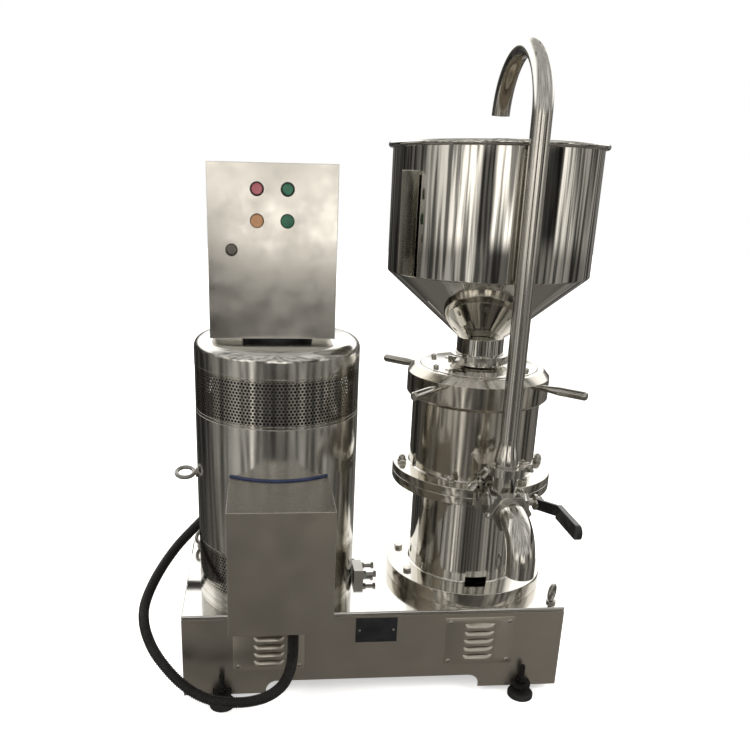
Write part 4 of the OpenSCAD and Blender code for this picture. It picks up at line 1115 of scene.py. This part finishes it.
    def eyes(self) -> None:
        """Builds the two eyes of the base and the large one of the motor."""
        plate = at("base_plate")
        turn = (0.0, 0.0, math.radians(50))
        spots = [(Vector((plate[1].x - 25 * MM, plate[0].y + 26 * MM, plate[1].z)), turn),
                 (Vector((plate[0].x + 23 * MM, plate[1].y - 32 * MM, plate[1].z)), turn)]
        small = repeat("base_eyes", self.eye(17 * MM, 5 * MM, 11 * MM, 6 * MM, 10 * MM, 5 * MM), spots, MILLED_STEEL)
        motor = at("motor_cover")
        spot = Vector((motor[0].x - 0.4 * MM, motor[2].y, 508 * MM))
        big = self.eye(21 * MM, 5 * MM, 12 * MM, 4 * MM, 44 * MM, 6 * MM)
        big.data.transform(Matrix.Translation(spot) @ Matrix.Rotation(-QUARTER, 4, "Y")
                           @ Matrix.Rotation(math.radians(75), 4, "Z"))
        settle(merged("lifting_eye_set", small, big), MILLED_STEEL, "lifting_eyes")


@dataclass
class MotorUnit:
    """Motor under its sheet cover, with the perforated bands and the terminal box."""

    wall: float = 2 * MM
    edge: float = 24 * MM
    low_band: tuple[float, float] = (250 * MM, 361 * MM)
    high_band: tuple[float, float] = (673 * MM, 784 * MM)
    hole_columns: int = 146
    hole_rows: int = 15
    hole_share: float = 0.36
    perforated: float = 2.2 * MM

    def build(self) -> None:
        """Builds the cover, the bands, the terminal box and dresses the motor."""
        self.cover()
        tree = self.band_tree()
        self.band("upper_perforated_band", "upper_vent_band", tree)
        self.band("lower_perforated_band", "lower_vent_band", tree)
        shell = copy_of("terminal_box_shell", "terminal_box", 5 * MM, least=0.15)
        settle(face_finish(shell, SATIN_SHEET, TOP_PAINTED_REFLECTION_SHEET, lambda face: face.normal.z > 0.9), SATIN_SHEET,
               "terminal_box")
        dress(BLUE_TRIM, "seam_strip", "edge_trim", 0.6)
        dress(BLACK_PVC, "conduit_glands", "cable_glands", 0.8)
        # The motor takes the darkened grey: its own paint, partly painted shade seen through the perforations
        keep(GREY_IRON_DARKENED_AS_SHADE, "motor_housing", "motor_shaft", "drive_pulley", "box_saddle")
        keep(COPPER_WINDING, "motor_stator")
        keep(BLACK_PVC, "motor_fan")
        keep(BLACK_RUBBER, "drive_belts")

    def cover(self) -> None:
        """Turns the three sheet rings of the cover."""
        low, high, middle = at("motor_cover")
        radius = (high.x - low.x) / 2
        inner = radius - self.wall
        place = upright(middle)
        parts = []
        for name, bottom, top in (("skirt", low.z, self.low_band[0]), ("drum", self.low_band[1], self.high_band[0])):
            ring = rounded([(inner, bottom), (radius, bottom), (radius, top), (inner, top)], 0.8 * MM)
            parts.append(revolve(name, ring, place, 256))
        dome: Outline = [(radius, self.high_band[1])]
        dome += [(radius - self.edge * (1 - math.cos(t)), high.z - self.edge * (1 - math.sin(t)))
                 for t in arc(QUARTER, 12)]
        dome += [(0, high.z), (0, high.z - self.wall), (radius - self.edge, high.z - self.wall),
                 (inner, high.z - self.edge), (inner, self.high_band[1])]
        parts.append(revolve("cap", dome, place, 256))
        # The inner faces take the black finish: painted shade inside the cover
        whole = face_finish(merged("motor_cover_sheet", *parts), MIRROR_COVER, INSIDE_PAINTED_SHADE, inwards(middle))
        settle(whole, MIRROR_COVER, "motor_cover")

    def cell(self, pitch: float, rise: float) -> Piece:
        """Makes one six-sided cell of perforated sheet with its round hole, lying flat.

        Args:
            pitch: Distance between holes in a row.
            rise: Distance between rows.

        Returns:
            The cell about the origin.
        """
        work = bmesh.new()
        corners = [(0, 2 * rise / 3), (-pitch / 2, rise / 3), (-pitch / 2, -rise / 3), (0, -2 * rise / 3),
                   (pitch / 2, -rise / 3), (pitch / 2, rise / 3)]
        outer = [work.verts.new((x, y, 0.0)) for x, y in corners]
        inner = [work.verts.new((x, y, 0.0)) for x, y in circle(self.hole_share * pitch, 12, QUARTER)]
        for k in range(6):
            a, b = outer[k], outer[(k + 1) % 6]
            p, q, r = inner[2 * k], inner[2 * k + 1], inner[(2 * k + 2) % 12]
            for face in ((a, q, p), (a, b, q), (b, r, q)):
                work.faces.new(face)
        return link("cell", work)

    def band_tree(self) -> Tree:
        """Builds the tree that lays cells in staggered rows and wraps them round an upright cylinder.

        Returns:
            The tree.
        """
        tree, start = new_tree("perforated_band", Cell="NodeSocketObject", Columns="NodeSocketInt",
                               Rows="NodeSocketInt", Pitch="NodeSocketFloat", Rise="NodeSocketFloat",
                               Radius="NodeSocketFloat", Finish="NodeSocketMaterial")
        here = add(tree, "ShaderNodeSeparateXYZ", {0: add(tree, "GeometryNodeInputPosition")})
        known = dict(start.outputs.items())
        known["across"], known["up"] = here.outputs["X"], here.outputs["Y"]
        for key, kind, *values in (
                ("column_gaps", "SUBTRACT", "Columns", 1.0), ("width", "MULTIPLY", "column_gaps", "Pitch"),
                ("row_gaps", "SUBTRACT", "Rows", 1.0), ("height", "MULTIPLY", "row_gaps", "Rise"),
                ("half_height", "DIVIDE", "height", 2.0), ("above", "ADD", "up", "half_height"),
                ("rows_below", "DIVIDE", "above", "Rise"), ("row", "ROUND", "rows_below"),
                ("odd", "MODULO", "row", 2.0), ("half_pitch", "DIVIDE", "Pitch", 2.0),
                ("lag", "MULTIPLY", "odd", "half_pitch"),
                ("turn", "DIVIDE", "across", "Radius"), ("sine", "SINE", "turn"), ("cosine", "COSINE", "turn"),
                ("round_x", "MULTIPLY", "sine", "Radius"), ("depth", "MULTIPLY", "cosine", "Radius"),
                ("round_y", "MULTIPLY", "depth", -1.0)):
            feeds = {i: known.get(value, value) for i, value in enumerate(values)}
            known[key] = add(tree, "ShaderNodeMath", feeds, operation=kind)
        grid = add(tree, "GeometryNodeMeshGrid", {"Size X": known["width"], "Size Y": known["height"],
                   "Vertices X": known["Columns"], "Vertices Y": known["Rows"]})
        offset = add(tree, "ShaderNodeCombineXYZ", {"X": known["lag"]})
        staggered = add(tree, "GeometryNodeSetPosition", {"Geometry": grid, "Offset": offset})
        shape = add(tree, "GeometryNodeObjectInfo", {"Object": known["Cell"]}, transform_space="ORIGINAL")
        spread = add(tree, "GeometryNodeInstanceOnPoints", {"Points": staggered,
                     "Instance": shape.outputs["Geometry"]})
        sheet = add(tree, "GeometryNodeRealizeInstances", {"Geometry": spread})
        place = add(tree, "ShaderNodeCombineXYZ", {"X": known["round_x"], "Y": known["round_y"], "Z": known["up"]})
        wrapped = add(tree, "GeometryNodeSetPosition", {"Geometry": sheet, "Position": place})
        welded = add(tree, "GeometryNodeMergeByDistance", {"Geometry": wrapped, "Distance": 0.1 * MM})
        close_tree(tree, welded.outputs[0], known["Finish"])
        return tree

    def band(self, name: str, node: str, tree: Tree) -> None:
        """Builds one perforated band between two plain hems.

        Args:
            name: The piece's name.
            node: The node that it replaces.
            tree: The geometry tree of the bands.
        """
        low, high, middle = at(node)
        radius = (high.x - low.x) / 2 - 0.6 * MM
        pitch = math.tau * radius / self.hole_columns
        rise = pitch * math.sqrt(3) / 2
        cell = self.cell(pitch, rise)
        sheet = grow(stand(name, bpy.data.meshes.new(name)), tree, wall=self.perforated, Cell=cell,
                     Columns=self.hole_columns, Rows=self.hole_rows, Pitch=pitch, Rise=rise, Radius=radius,
                     Finish=PERFORATED_SHEET.material())
        bpy.data.objects.remove(cell)
        sheet.data.transform(Matrix.Translation(middle))
        outer = (high.x - low.x) / 2 - 0.2 * MM
        place = upright(middle)
        hems = []
        for bottom, top in ((low.z, low.z + 7 * MM), (high.z - 7 * MM, high.z)):
            ring = [(outer - 1.8 * MM, bottom), (outer, bottom), (outer, top), (outer - 1.8 * MM, top)]
            hems.append(revolve("hem", rounded(ring, 0.5 * MM), place, 256))
        # The inner faces take the black finish: painted shade behind the holes
        whole = face_finish(merged(name + "_sheet", sheet, *hems), PERFORATED_SHEET, INSIDE_PAINTED_SHADE, inwards(middle))
        settle(whole, PERFORATED_SHEET, node)


@dataclass
class ControlBox:
    """Control box with its swinging door, buttons, lamps and lock."""

    bezel: float = 14.6 * MM
    bezel_bore: float = 11.3 * MM
    cap: float = 11 * MM

    def build(self) -> None:
        """Builds the shell, the door and what sits in the door."""
        dress(SATIN_BOX, "control_box_shell", "control_box", 2, least=0.1)
        dress(SATIN_BOX, "control_box_door", "box_door", 2.5, least=0.1)
        keep(GREY_MOULDING, "control_gear")
        dress(WORN_CHROME, "quarter_turn_lock", "door_lock", 0.5)
        self.buttons()
        self.lamps()

    def stem(self) -> Outline:
        """Gives the outside of a fitting from its rear end over the nut behind the door to the bezel's rim."""
        return mm((12, -40), (12, -6), (16, -6), (16, -2.2), (12, -2.2), (12, 0)) + [(self.bezel, 0)]

    def buttons(self) -> None:
        """Builds the two push-buttons in their bright bezels."""
        face = at("box_door")[0].y
        caps = {"stop_button": RED_ACRYLIC, "start_button": GREEN_ACRYLIC}
        middles = {node: Vector((at(node)[2].x, face, at(node)[2].z)) for node in caps}
        ring = rounded([(self.bezel_bore, -24 * MM), *self.stem(), (self.bezel, 6 * MM),
                        (self.bezel - 1.6 * MM, 8 * MM), (self.bezel_bore, 7 * MM)], 0.8 * MM)
        scatter("push_button_bezels", revolve("bezel", ring, Matrix(), 64), [(m, TO_FRONT) for m in middles.values()],
                WORN_CHROME, "push_bezels")
        crown = rounded([(0, -19 * MM), (self.cap, -19 * MM), (self.cap, 10 * MM), (9 * MM, 11 * MM), (0, 10.2 * MM)],
                        1.2 * MM)
        for node, finish in caps.items():
            settle(revolve(node + "_cap", crown, to_front(middles[node]), 64), finish, node)

    def lamps(self) -> None:
        """Builds the two pilot lamps: a dark body each, with an amber and a green lens."""
        face = at("box_door")[0].y
        low, high, middle = at("pilot_lamps")
        nut = 16 * MM
        middles = [Vector((x, face, middle.z)) for x in (low.x + nut, high.x - nut)]
        body = rounded([(0, -40 * MM), *self.stem(), (self.bezel, 4.4 * MM), (self.bezel - 1 * MM, 5 * MM),
                        (0, 5 * MM)], 0.6 * MM)
        scatter("pilot_lamp_bodies", revolve("lamp", body, Matrix(), 64), [(m, TO_FRONT) for m in middles], BLACK_PVC,
                "pilot_lamps")
        lens = rounded(mm((0, 4.5), (13.2, 4.5), (13.2, 13), (11, 15.6), (0, 16)), 1.6 * MM)
        for spot, name, finish in zip(middles, ("amber", "green"), (AMBER_ACRYLIC, GREEN_ACRYLIC)):
            settle(revolve(name + "_lamp_lens", lens, to_front(spot), 64), finish, body="door")


@dataclass
class GrindingHead:
    """Pedestal, grinding housing, adjusting ring, feed cover and hopper on the mill's axis."""

    column: float = 135 * MM
    bolts: tuple[float, ...] = (0, 60, 120, 180, 240, 300)
    cover_screws: tuple[float, ...] = (20, 80, 140, 200, 260, 320)
    handles: tuple[float, ...] = (135, 225, 315)

    def build(self) -> None:
        """Builds every piece on the mill's axis."""
        keep(GREY_IRON_DARKENED_AS_SHADE, "bearing_sleeve", "driven_pulley")
        keep(GROUND_TURNED, "spindle_bearings", "spindle", "stator", "rotor")
        self.pedestal()
        self.housing()
        self.ring()
        self.cover()
        self.hopper()

    def pedestal(self) -> None:
        """Turns the column with its two flanges and cuts the drain window."""
        low, high, middle = at("pedestal")
        foot, rim = 192 * MM, 190 * MM
        bore, seat, sleeve = 100 * MM, 120.4 * MM, 80 * MM
        floor, top = low.z, high.z
        step, flange, recess = floor + 36 * MM, top - 20 * MM, top - 10 * MM
        outside, inside, fillet = self.column, self.column - 8 * MM, 3 * MM
        shape = [(bore, floor), (foot, floor), (foot, step), (outside + fillet, step), (outside, step + fillet),
                 (outside, flange - fillet), (outside + fillet, flange), (rim, flange), (rim, top), (seat, top),
                 (seat, recess), (sleeve, recess), (sleeve, flange), (inside, flange), (inside, step), (bore, step)]
        column = revolve("mill_pedestal", rounded(shape, 1.5 * MM), upright(middle), 192)
        corner = Vector((middle.x, middle.y - self.column, step))
        window = bar("window", corner + MM * Vector((-26, -6, 0.2)), corner + MM * Vector((26, 30, 15)))
        column = face_finish(cut_out(column, window), MIRROR_TURNED, GROUND_TURNED, rims(middle, 170 * MM))
        settle(column, MIRROR_TURNED, "pedestal")

    def housing(self) -> None:
        """Turns the grinding housing and sets the studs of its flange."""
        low, high, middle = at("mill_housing")
        rim, body, spigot, bore = 190 * MM, 149 * MM, 140 * MM, 105 * MM
        flange, step = low.z + 20 * MM, 699.6 * MM
        hole, well, ledge, fillet = 42 * MM, 92 * MM, 562 * MM, 3 * MM
        shape = [(hole, low.z), (rim, low.z), (rim, flange), (body + fillet, flange), (body, flange + fillet),
                 (body, step), (spigot, step), (spigot, high.z), (bore, high.z), (bore, ledge), (well, ledge),
                 (well, flange), (hole, flange)]
        drum = revolve("grinding_housing", rounded(shape, 1.5 * MM), upright(middle), 192)
        settle(face_finish(drum, MIRROR_TURNED, GROUND_TURNED, rims(middle, 120 * MM)), MIRROR_TURNED, "mill_housing")
        cap, seat = 8.5, 12
        dome = [(cap * math.cos(t), seat + cap * math.sin(t)) for t in arc(QUARTER, 6)[1:-1]]
        dome = mm((0, -52), (6, -52), (6, 8), (cap, 8), (cap, seat), *dome, (0, seat + cap))
        stud = merged("stud", revolve("cap", rounded(dome, 0.4 * MM), Matrix(), 32),
                      hexagon("upper", 11 * MM, 0, 9 * MM), hexagon("lower", 11 * MM, -49 * MM, -40 * MM))
        spots = circle_of(middle, 170 * MM, flange, self.bolts)
        scatter("flange_cap_nuts", stud, spots, BRIGHT_FITTING, "flange_bolts")

    def ring(self) -> None:
        """Turns the adjusting ring and its three handles."""
        low, high, middle = at("adjusting_ring")
        radius = (high.x - low.x) / 2
        thread, lip, step = 140.1 * MM, 135.4 * MM, high.z - 22.6 * MM
        shape = [(thread, low.z), (radius - 9 * MM, low.z), (radius, low.z + 9 * MM), (radius, high.z - 17 * MM),
                 (radius - 15 * MM, high.z), (lip, high.z), (lip, step), (thread, step)]
        settle(revolve("adjusting_ring_body", rounded(shape, 2 * MM), upright(middle), 192), GROUND_TURNED,
               "adjusting_ring")
        grip = mm((0, -20), (5, -20), (5, 0), (6.5, 1), (6.5, 3), (10, 40), (10, 101), (7.5, 105), (0, 105))
        spots = circle_of(middle, radius, low.z + 48 * MM, self.handles, outward=True)
        scatter("adjusting_handles", revolve("handle", rounded(grip, 1.5 * MM), Matrix(), 48), spots, BRIGHT_FITTING,
                "ring_handles")

    def cover(self) -> None:
        """Turns the feed cover and sets its socket screws."""
        low, high, middle = at("feed_cover")
        bore, neck, collar, plate = 51 * MM, 54 * MM, 60 * MM, 135 * MM
        top, step, fillet = 776 * MM, high.z - 6 * MM, 3 * MM
        shape = [(bore, low.z), (plate, low.z), (plate, top), (neck + fillet, top), (neck, top + fillet),
                 (neck, step), (collar, step), (collar, high.z), (bore, high.z)]
        settle(revolve("feed_cover_plate", rounded(shape, 1.2 * MM), upright(middle), 160), MIRROR_TURNED,
               "feed_cover")
        head = rounded(mm((0, -40), (4, -40), (4, 0), (6.5, 0), (6.5, 7), (0, 7)), 0.6 * MM)
        screw = cut_out(revolve("screw", head, Matrix(), 32), hexagon("socket", 3.4 * MM, 3 * MM, 9 * MM))
        scatter("socket_screws", screw, circle_of(middle, 118 * MM, top, self.cover_screws), BRIGHT_FITTING,
                "cover_screws")

    def hopper(self) -> None:
        """Turns the hopper with its rolled bead and dresses the clamp at its neck."""
        low, high, middle = at("hopper")
        bead = 6 * MM
        radius = (high.x - low.x) / 2 - 5 * MM - bead
        top = high.z - bead
        bore, neck, collar, step = 51 * MM, 54 * MM, 60 * MM, low.z + 6 * MM
        inside, rim = radius - 2 * MM, top - 4 * MM
        shape = [(bore, low.z), (collar, low.z), (collar, step), (neck, step), (neck, 842 * MM), (radius, 990 * MM),
                 (radius, rim), (inside, rim), (inside, 991 * MM), (bore, 843 * MM)]
        sheet = revolve("sheet", rounded(shape, 5 * MM, 6), upright(middle), 256)
        roll = [(radius + 4 * MM + x, top + z) for x, z in circle(bead, 24)]
        bowl = merged("feed_hopper", sheet, revolve("roll", roll, upright(middle), 256))
        settle(face_finish(bowl, MIRROR_SHEET, SATIN_SHEET, inwards(middle)), MIRROR_SHEET, "hopper")
        dress(BRIGHT_FITTING, "neck_clamp", "hopper_clamp", 0.8)


@dataclass
class Outlet:
    """Discharge box, three-way valve with its lever, outlet elbow and recirculation pipe."""

    pipe: float = 19 * MM
    port: float = 26 * MM
    ferrule: float = 32 * MM
    wall: float = 2 * MM
    bend: float = 132 * MM
    bend_height: float = 1303 * MM
    bend_degrees: float = 173.0
    elbow: float = 29 * MM
    elbow_bend: float = 76 * MM
    hub: float = 36 * MM
    grip_slim: float = 0.75

    def build(self) -> None:
        """Builds every piece of the outlet."""
        dress(MIRROR_TURNED, "discharge_box_shell", "discharge_box", 2.5)
        for name, node, bevel in (("ferrule_clamps", "tube_clamps", 0.6), ("three_way_valve_body", "valve_body", 0.8),
                                  ("valve_bonnet_plate", "valve_bonnet", 1), ("union_hex_nut", "union_nut", 1.5)):
            dress(BRIGHT_FITTING, name, node, bevel)
        self.lever()
        keep(GROUND_TURNED, "valve_plug")
        self.elbow_tube()
        self.return_pipe()

    def lever(self) -> None:
        """Dresses the lever: bright at its hub, black beyond it, with a dipped grip."""
        hub = at("valve_lever")[1].y - self.hub
        flat = copy_of("flat_bar_lever", "valve_lever", 1 * MM)
        flat = face_finish(flat, BRIGHT_FITTING, BLACK_VINYL, lambda face: face.center.y < hub)
        settle(flat, BRIGHT_FITTING, "valve_lever")
        grip = copy_of("dipped_grip", "lever_grip", 4 * MM, least=0.01)
        middle = Matrix.Translation(at("lever_grip")[2])
        grip.data.transform(middle @ Matrix.Diagonal((self.grip_slim, 1.0, 1.0, 1.0)) @ middle.inverted())
        settle(grip, BLACK_VINYL, "lever_grip")

    def elbow_tube(self) -> None:
        """Sweeps the outlet elbow with its collar under the union nut."""
        low, high, middle = at("outlet_elbow")
        level = high.z - self.ferrule
        mouth = low.y + self.elbow
        start = mouth + self.elbow_bend
        path = [Vector((middle.x, high.y, level)), Vector((middle.x, start + 1 * MM, level))]
        path += [Vector((middle.x, start - self.elbow_bend * math.sin(t),
                         level - self.elbow_bend * (1 - math.cos(t)))) for t in arc(QUARTER, 24)]
        path += [Vector((middle.x, mouth, low.z + 1 * MM)), Vector((middle.x, mouth, low.z))]
        bend = sweep("bend", path, self.elbow, self.wall)
        bore, thick = 27.2 * MM, 6 * MM
        flange = rounded([(bore, 0), (self.ferrule, 0), (self.ferrule, thick), (bore, thick)], 0.8 * MM)
        settle(merged("outlet_elbow_tube", bend, revolve("flange", flange, to_front(path[0]), 64)), MIRROR_TUBE,
               "outlet_elbow")

    def return_pipe(self) -> None:
        """Sweeps the pipe from the reducer over the hopper's mouth."""
        low, _, middle = at("recirculation_pipe")
        axis = Vector((middle.x, low.y + self.ferrule, 0.0))
        thin, step = self.wall, low.z + 6 * MM
        flare = [(self.pipe + (self.port - self.pipe) * (0.5 + 0.5 * math.cos(math.pi * t)),
                  low.z + (12 + 54 * t) * MM) for t in arc(1.0, 16)]
        shape = [(self.port - thin, low.z), (self.ferrule, low.z), (self.ferrule, step), (self.port, step), *flare]
        shape += [(r - thin, z) for r, z in reversed(flare)]
        reducer = revolve("reducer", rounded(shape, 0.8 * MM), upright(axis), 64)
        levels = (low.z + 64 * MM, low.z + 66 * MM, self.bend_height - 1 * MM)
        path = [axis + Vector((0, 0, z)) for z in levels]
        path += [axis + Vector((0, self.bend * (1 - math.cos(t)), self.bend_height + self.bend * math.sin(t)))
                 for t in arc(math.radians(self.bend_degrees), 64)]
        run = sweep("run", path, self.pipe, thin)
        settle(merged("return_pipe", reducer, run), MIRROR_TUBE, "recirculation_pipe")


@dataclass(frozen=True)
class StudioPanel:
    """One upright stripe of the studio, seen from the machine: 0 degrees is the front, negative is left."""

    degrees: float
    eye_level: float
    low_level: float


@dataclass
class Studio:
    """Camera, pale floor and the soft studio that polished steel mirrors."""

    place: Triple = (-0.27977, -1.67571, 1.18643)
    right: Triple = (0.99631, -0.08278, 0.02259)
    above: Triple = (0.00501, 0.31886, 0.94779)
    lens_mm: float = 37.555
    shift: tuple[float, float] = (0.0672, 0.0863)
    window: float = 1.8
    roof: float = 0.65
    ground: float = 0.17
    floor_glow: float = 0.5
    streak: tuple[float, float] = (0.22, 1.55)
    skirting: tuple[float, float] = (-0.75, -0.42)
    horizon: tuple[float, float] = (-0.12, -0.06)
    cornice: tuple[float, float] = (0.1, 0.2)
    window_side: tuple[float, float] = (0.05, 0.4)
    window_top: tuple[float, float] = (0.6, 0.8)
    panels: tuple[StudioPanel, ...] = (
        StudioPanel(-180, 0.1, 0.1), StudioPanel(-140, 0.05, 0.05), StudioPanel(-110, 0.1, 0.1),
        StudioPanel(-90, 0.4, 0.2), StudioPanel(-70, 0.7, 0.3), StudioPanel(-45, 1.3, 0.4),
        StudioPanel(-34, 1.2, 0.9), StudioPanel(-28, 0.1, 0.4), StudioPanel(-17, 0.1, 0.1),
        StudioPanel(-13, 1.4, 0.1), StudioPanel(14, 1.4, 0.1), StudioPanel(19, 0.2, 0.25),
        StudioPanel(36, 0.4, 0.3), StudioPanel(42, 0.03, 0.2), StudioPanel(54, 0.03, 0.2),
        StudioPanel(60, 1.0, 0.25), StudioPanel(75, 0.6, 0.3), StudioPanel(90, 0.3, 0.1),
        StudioPanel(140, 0.2, 0.2))

    def build(self) -> None:
        """Builds the camera, the world, the lights and the floor."""
        self.camera()
        self.world()
        self.floor()
        self.lamps()
        bpy.context.scene.view_settings.view_transform = "Standard"

    def camera(self) -> None:
        """Sets the camera where the photograph was taken from."""
        data = bpy.data.cameras.new("photo_camera")
        data.sensor_width = 36.0
        data.lens = self.lens_mm
        data.shift_x, data.shift_y = self.shift
        body = stand("photo_camera", data)
        right = Vector(self.right).normalized()
        back = right.cross(Vector(self.above)).normalized()
        turn = Matrix((right, back.cross(right), back)).transposed().to_4x4()
        body.matrix_world = Matrix.Translation(self.place) @ turn
        bpy.context.scene.camera = body

    def world(self) -> None:
        """Paints the studio: striped walls, a streaked roof, a bright rear window and a dim warm floor.

        The camera itself sees a plain white backdrop.
        """
        world = bpy.data.worlds.new("studio")
        bpy.context.scene.world = world
        world.use_nodes = True
        tree = world.node_tree
        tree.nodes.clear()
        ray = add(tree, "ShaderNodeSeparateXYZ", {0: add(tree, "ShaderNodeTexCoord").outputs["Generated"]})
        ahead = add(tree, "ShaderNodeMath", {0: ray.outputs["Y"], 1: -1.0}, operation="MULTIPLY")
        angle = add(tree, "ShaderNodeMath", {0: ray.outputs["X"], 1: ahead}, operation="ARCTAN2")
        turn = add(tree, "ShaderNodeMapRange", {"Value": angle, "From Min": -math.pi, "From Max": math.pi})
        eye, low = (self.stripes(tree, turn.outputs[0], name) for name in ("eye_level", "low_level"))
        rise = add(tree, "ShaderNodeMath", {0: ray.outputs["Z"], 1: 0.2}, operation="MULTIPLY")
        spot = add(tree, "ShaderNodeCombineXYZ", {"X": angle, "Y": rise})
        fine = add(tree, "ShaderNodeTexNoise", {"Vector": spot, "Scale": 11.0, "Detail": 3.0})
        streak = add(tree, "ShaderNodeMapRange", {"Value": fine, "From Min": 0.4, "From Max": 0.6,
                     "To Min": self.streak[0], "To Max": self.streak[1]}, interpolation_type="SMOOTHSTEP")

        def blend(along: str, edge: tuple[float, float], under: object, over: object) -> Socket:
            """Passes from one colour to another.

            Args:
                along: The axis along which the ray is measured.
                edge: Where the passage starts and ends on it.
                under: The colour before it.
                over: The colour after it.

            Returns:
                The blended colour.
            """
            share = add(tree, "ShaderNodeMapRange", {"Value": ray.outputs[along], "From Min": edge[0],
                        "From Max": edge[1]}, interpolation_type="SMOOTHSTEP")
            return add(tree, "ShaderNodeMix", {"Factor": share, 6: under, 7: over}, data_type="RGBA").outputs[2]

        plain_walls = blend("Z", self.horizon, low, eye)
        walls, roof = (add(tree, "ShaderNodeMix", {"Factor": 1.0, 6: colour, 7: streak}, data_type="RGBA",
                           blend_type="MULTIPLY").outputs[2]
                       for colour in (plain_walls, self.glow(self.roof, "f6f4f0")))
        lower = blend("Z", self.skirting, self.glow(self.ground, "f6eee4"), walls)
        rear = blend("Y", self.window_side, roof, self.glow(self.window, "fffefc"))
        upper = blend("Z", self.window_top, rear, roof)
        room = blend("Z", self.cornice, lower, upper)
        glow = add(tree, "ShaderNodeBackground", {"Color": room, "Strength": 1.0})
        plain = add(tree, "ShaderNodeBackground", {"Color": linear("ffffff"), "Strength": 1.0})
        seen = add(tree, "ShaderNodeLightPath")
        both = add(tree, "ShaderNodeMixShader", {0: seen.outputs["Is Camera Ray"], 1: glow, 2: plain})
        add(tree, "ShaderNodeOutputWorld", {"Surface": both})

    def glow(self, level: float, tint: str) -> tuple[float, float, float, float]:
        """Gives a tinted brightness."""
        red, green, blue, _ = linear(tint)
        return level * red, level * green, level * blue, 1.0

    def stripes(self, tree: Tree, turn: Socket, level: str) -> Socket:
        """Lays the panels of one level round the room.

        Args:
            tree: The world's tree.
            turn: Share of a full turn, from the rear by the left.
            level: Name of the panel's field with its brightness.

        Returns:
            The stripes' colour.
        """
        made = add(tree, "ShaderNodeValToRGB", {"Fac": turn})
        ramp = made.color_ramp
        ramp.interpolation = "EASE"
        ramp.elements.remove(ramp.elements[-1])
        for i, panel in enumerate(self.panels):
            spot = (panel.degrees + 180) / 360
            stop = ramp.elements.new(spot) if i else ramp.elements[0]
            stop.position = spot
            stop.color = self.glow(getattr(panel, level), "fffaf2")
        return made.outputs["Color"]

    def floor(self) -> None:
        """Lays the pale floor, which glows a little so that shadows stay faint."""
        work = bmesh.new()
        bmesh.ops.create_grid(work, x_segments=1, y_segments=1, size=12.0)
        ground = link("studio_floor", work)
        mat, _, _ = blank("matt_white_floor", Base_Color=linear("f2f1ee"), Roughness=0.9,
                          Emission_Color=linear("ffffff"), Emission_Strength=self.floor_glow)
        ground.data.materials.append(mat)
        ground.visible_glossy = False

    def lamps(self) -> None:
        """Hangs the soft lights, which the steel does not mirror."""
        for name, kind, spot, size, power in (("key_light", "AREA", (-1.8, -2.2, 2.6), 1.6, 80.0),
                                              ("fill_light", "AREA", (2.2, -1.6, 2.2), 1.6, 40.0),
                                              ("sky_light", "SUN", (0.3, 0.5, 3.0), 1.6, 1.2)):
            data = bpy.data.lights.new(name, kind)
            data.energy = power
            setattr(data, "angle" if kind == "SUN" else "size", size)
            lamp = stand(name, data)
            lamp.location = spot
            aim = Vector((0.0, 0.0, 0.6)) - Vector(spot)
            lamp.rotation_euler = aim.to_track_quat("-Z", "Y").to_euler()
            lamp.visible_glossy = False


def main() -> None:
    """Builds the studio and the machine."""
    logging.basicConfig(level=logging.INFO, format="%(name)s %(message)s")
    for part in (Studio(), Conduit(), Base(), MotorUnit(), ControlBox(), GrindingHead(), Outlet()):
        LOG.info("building %s", type(part).__name__)
        part.build()


if __name__ == "__main__":
    main()
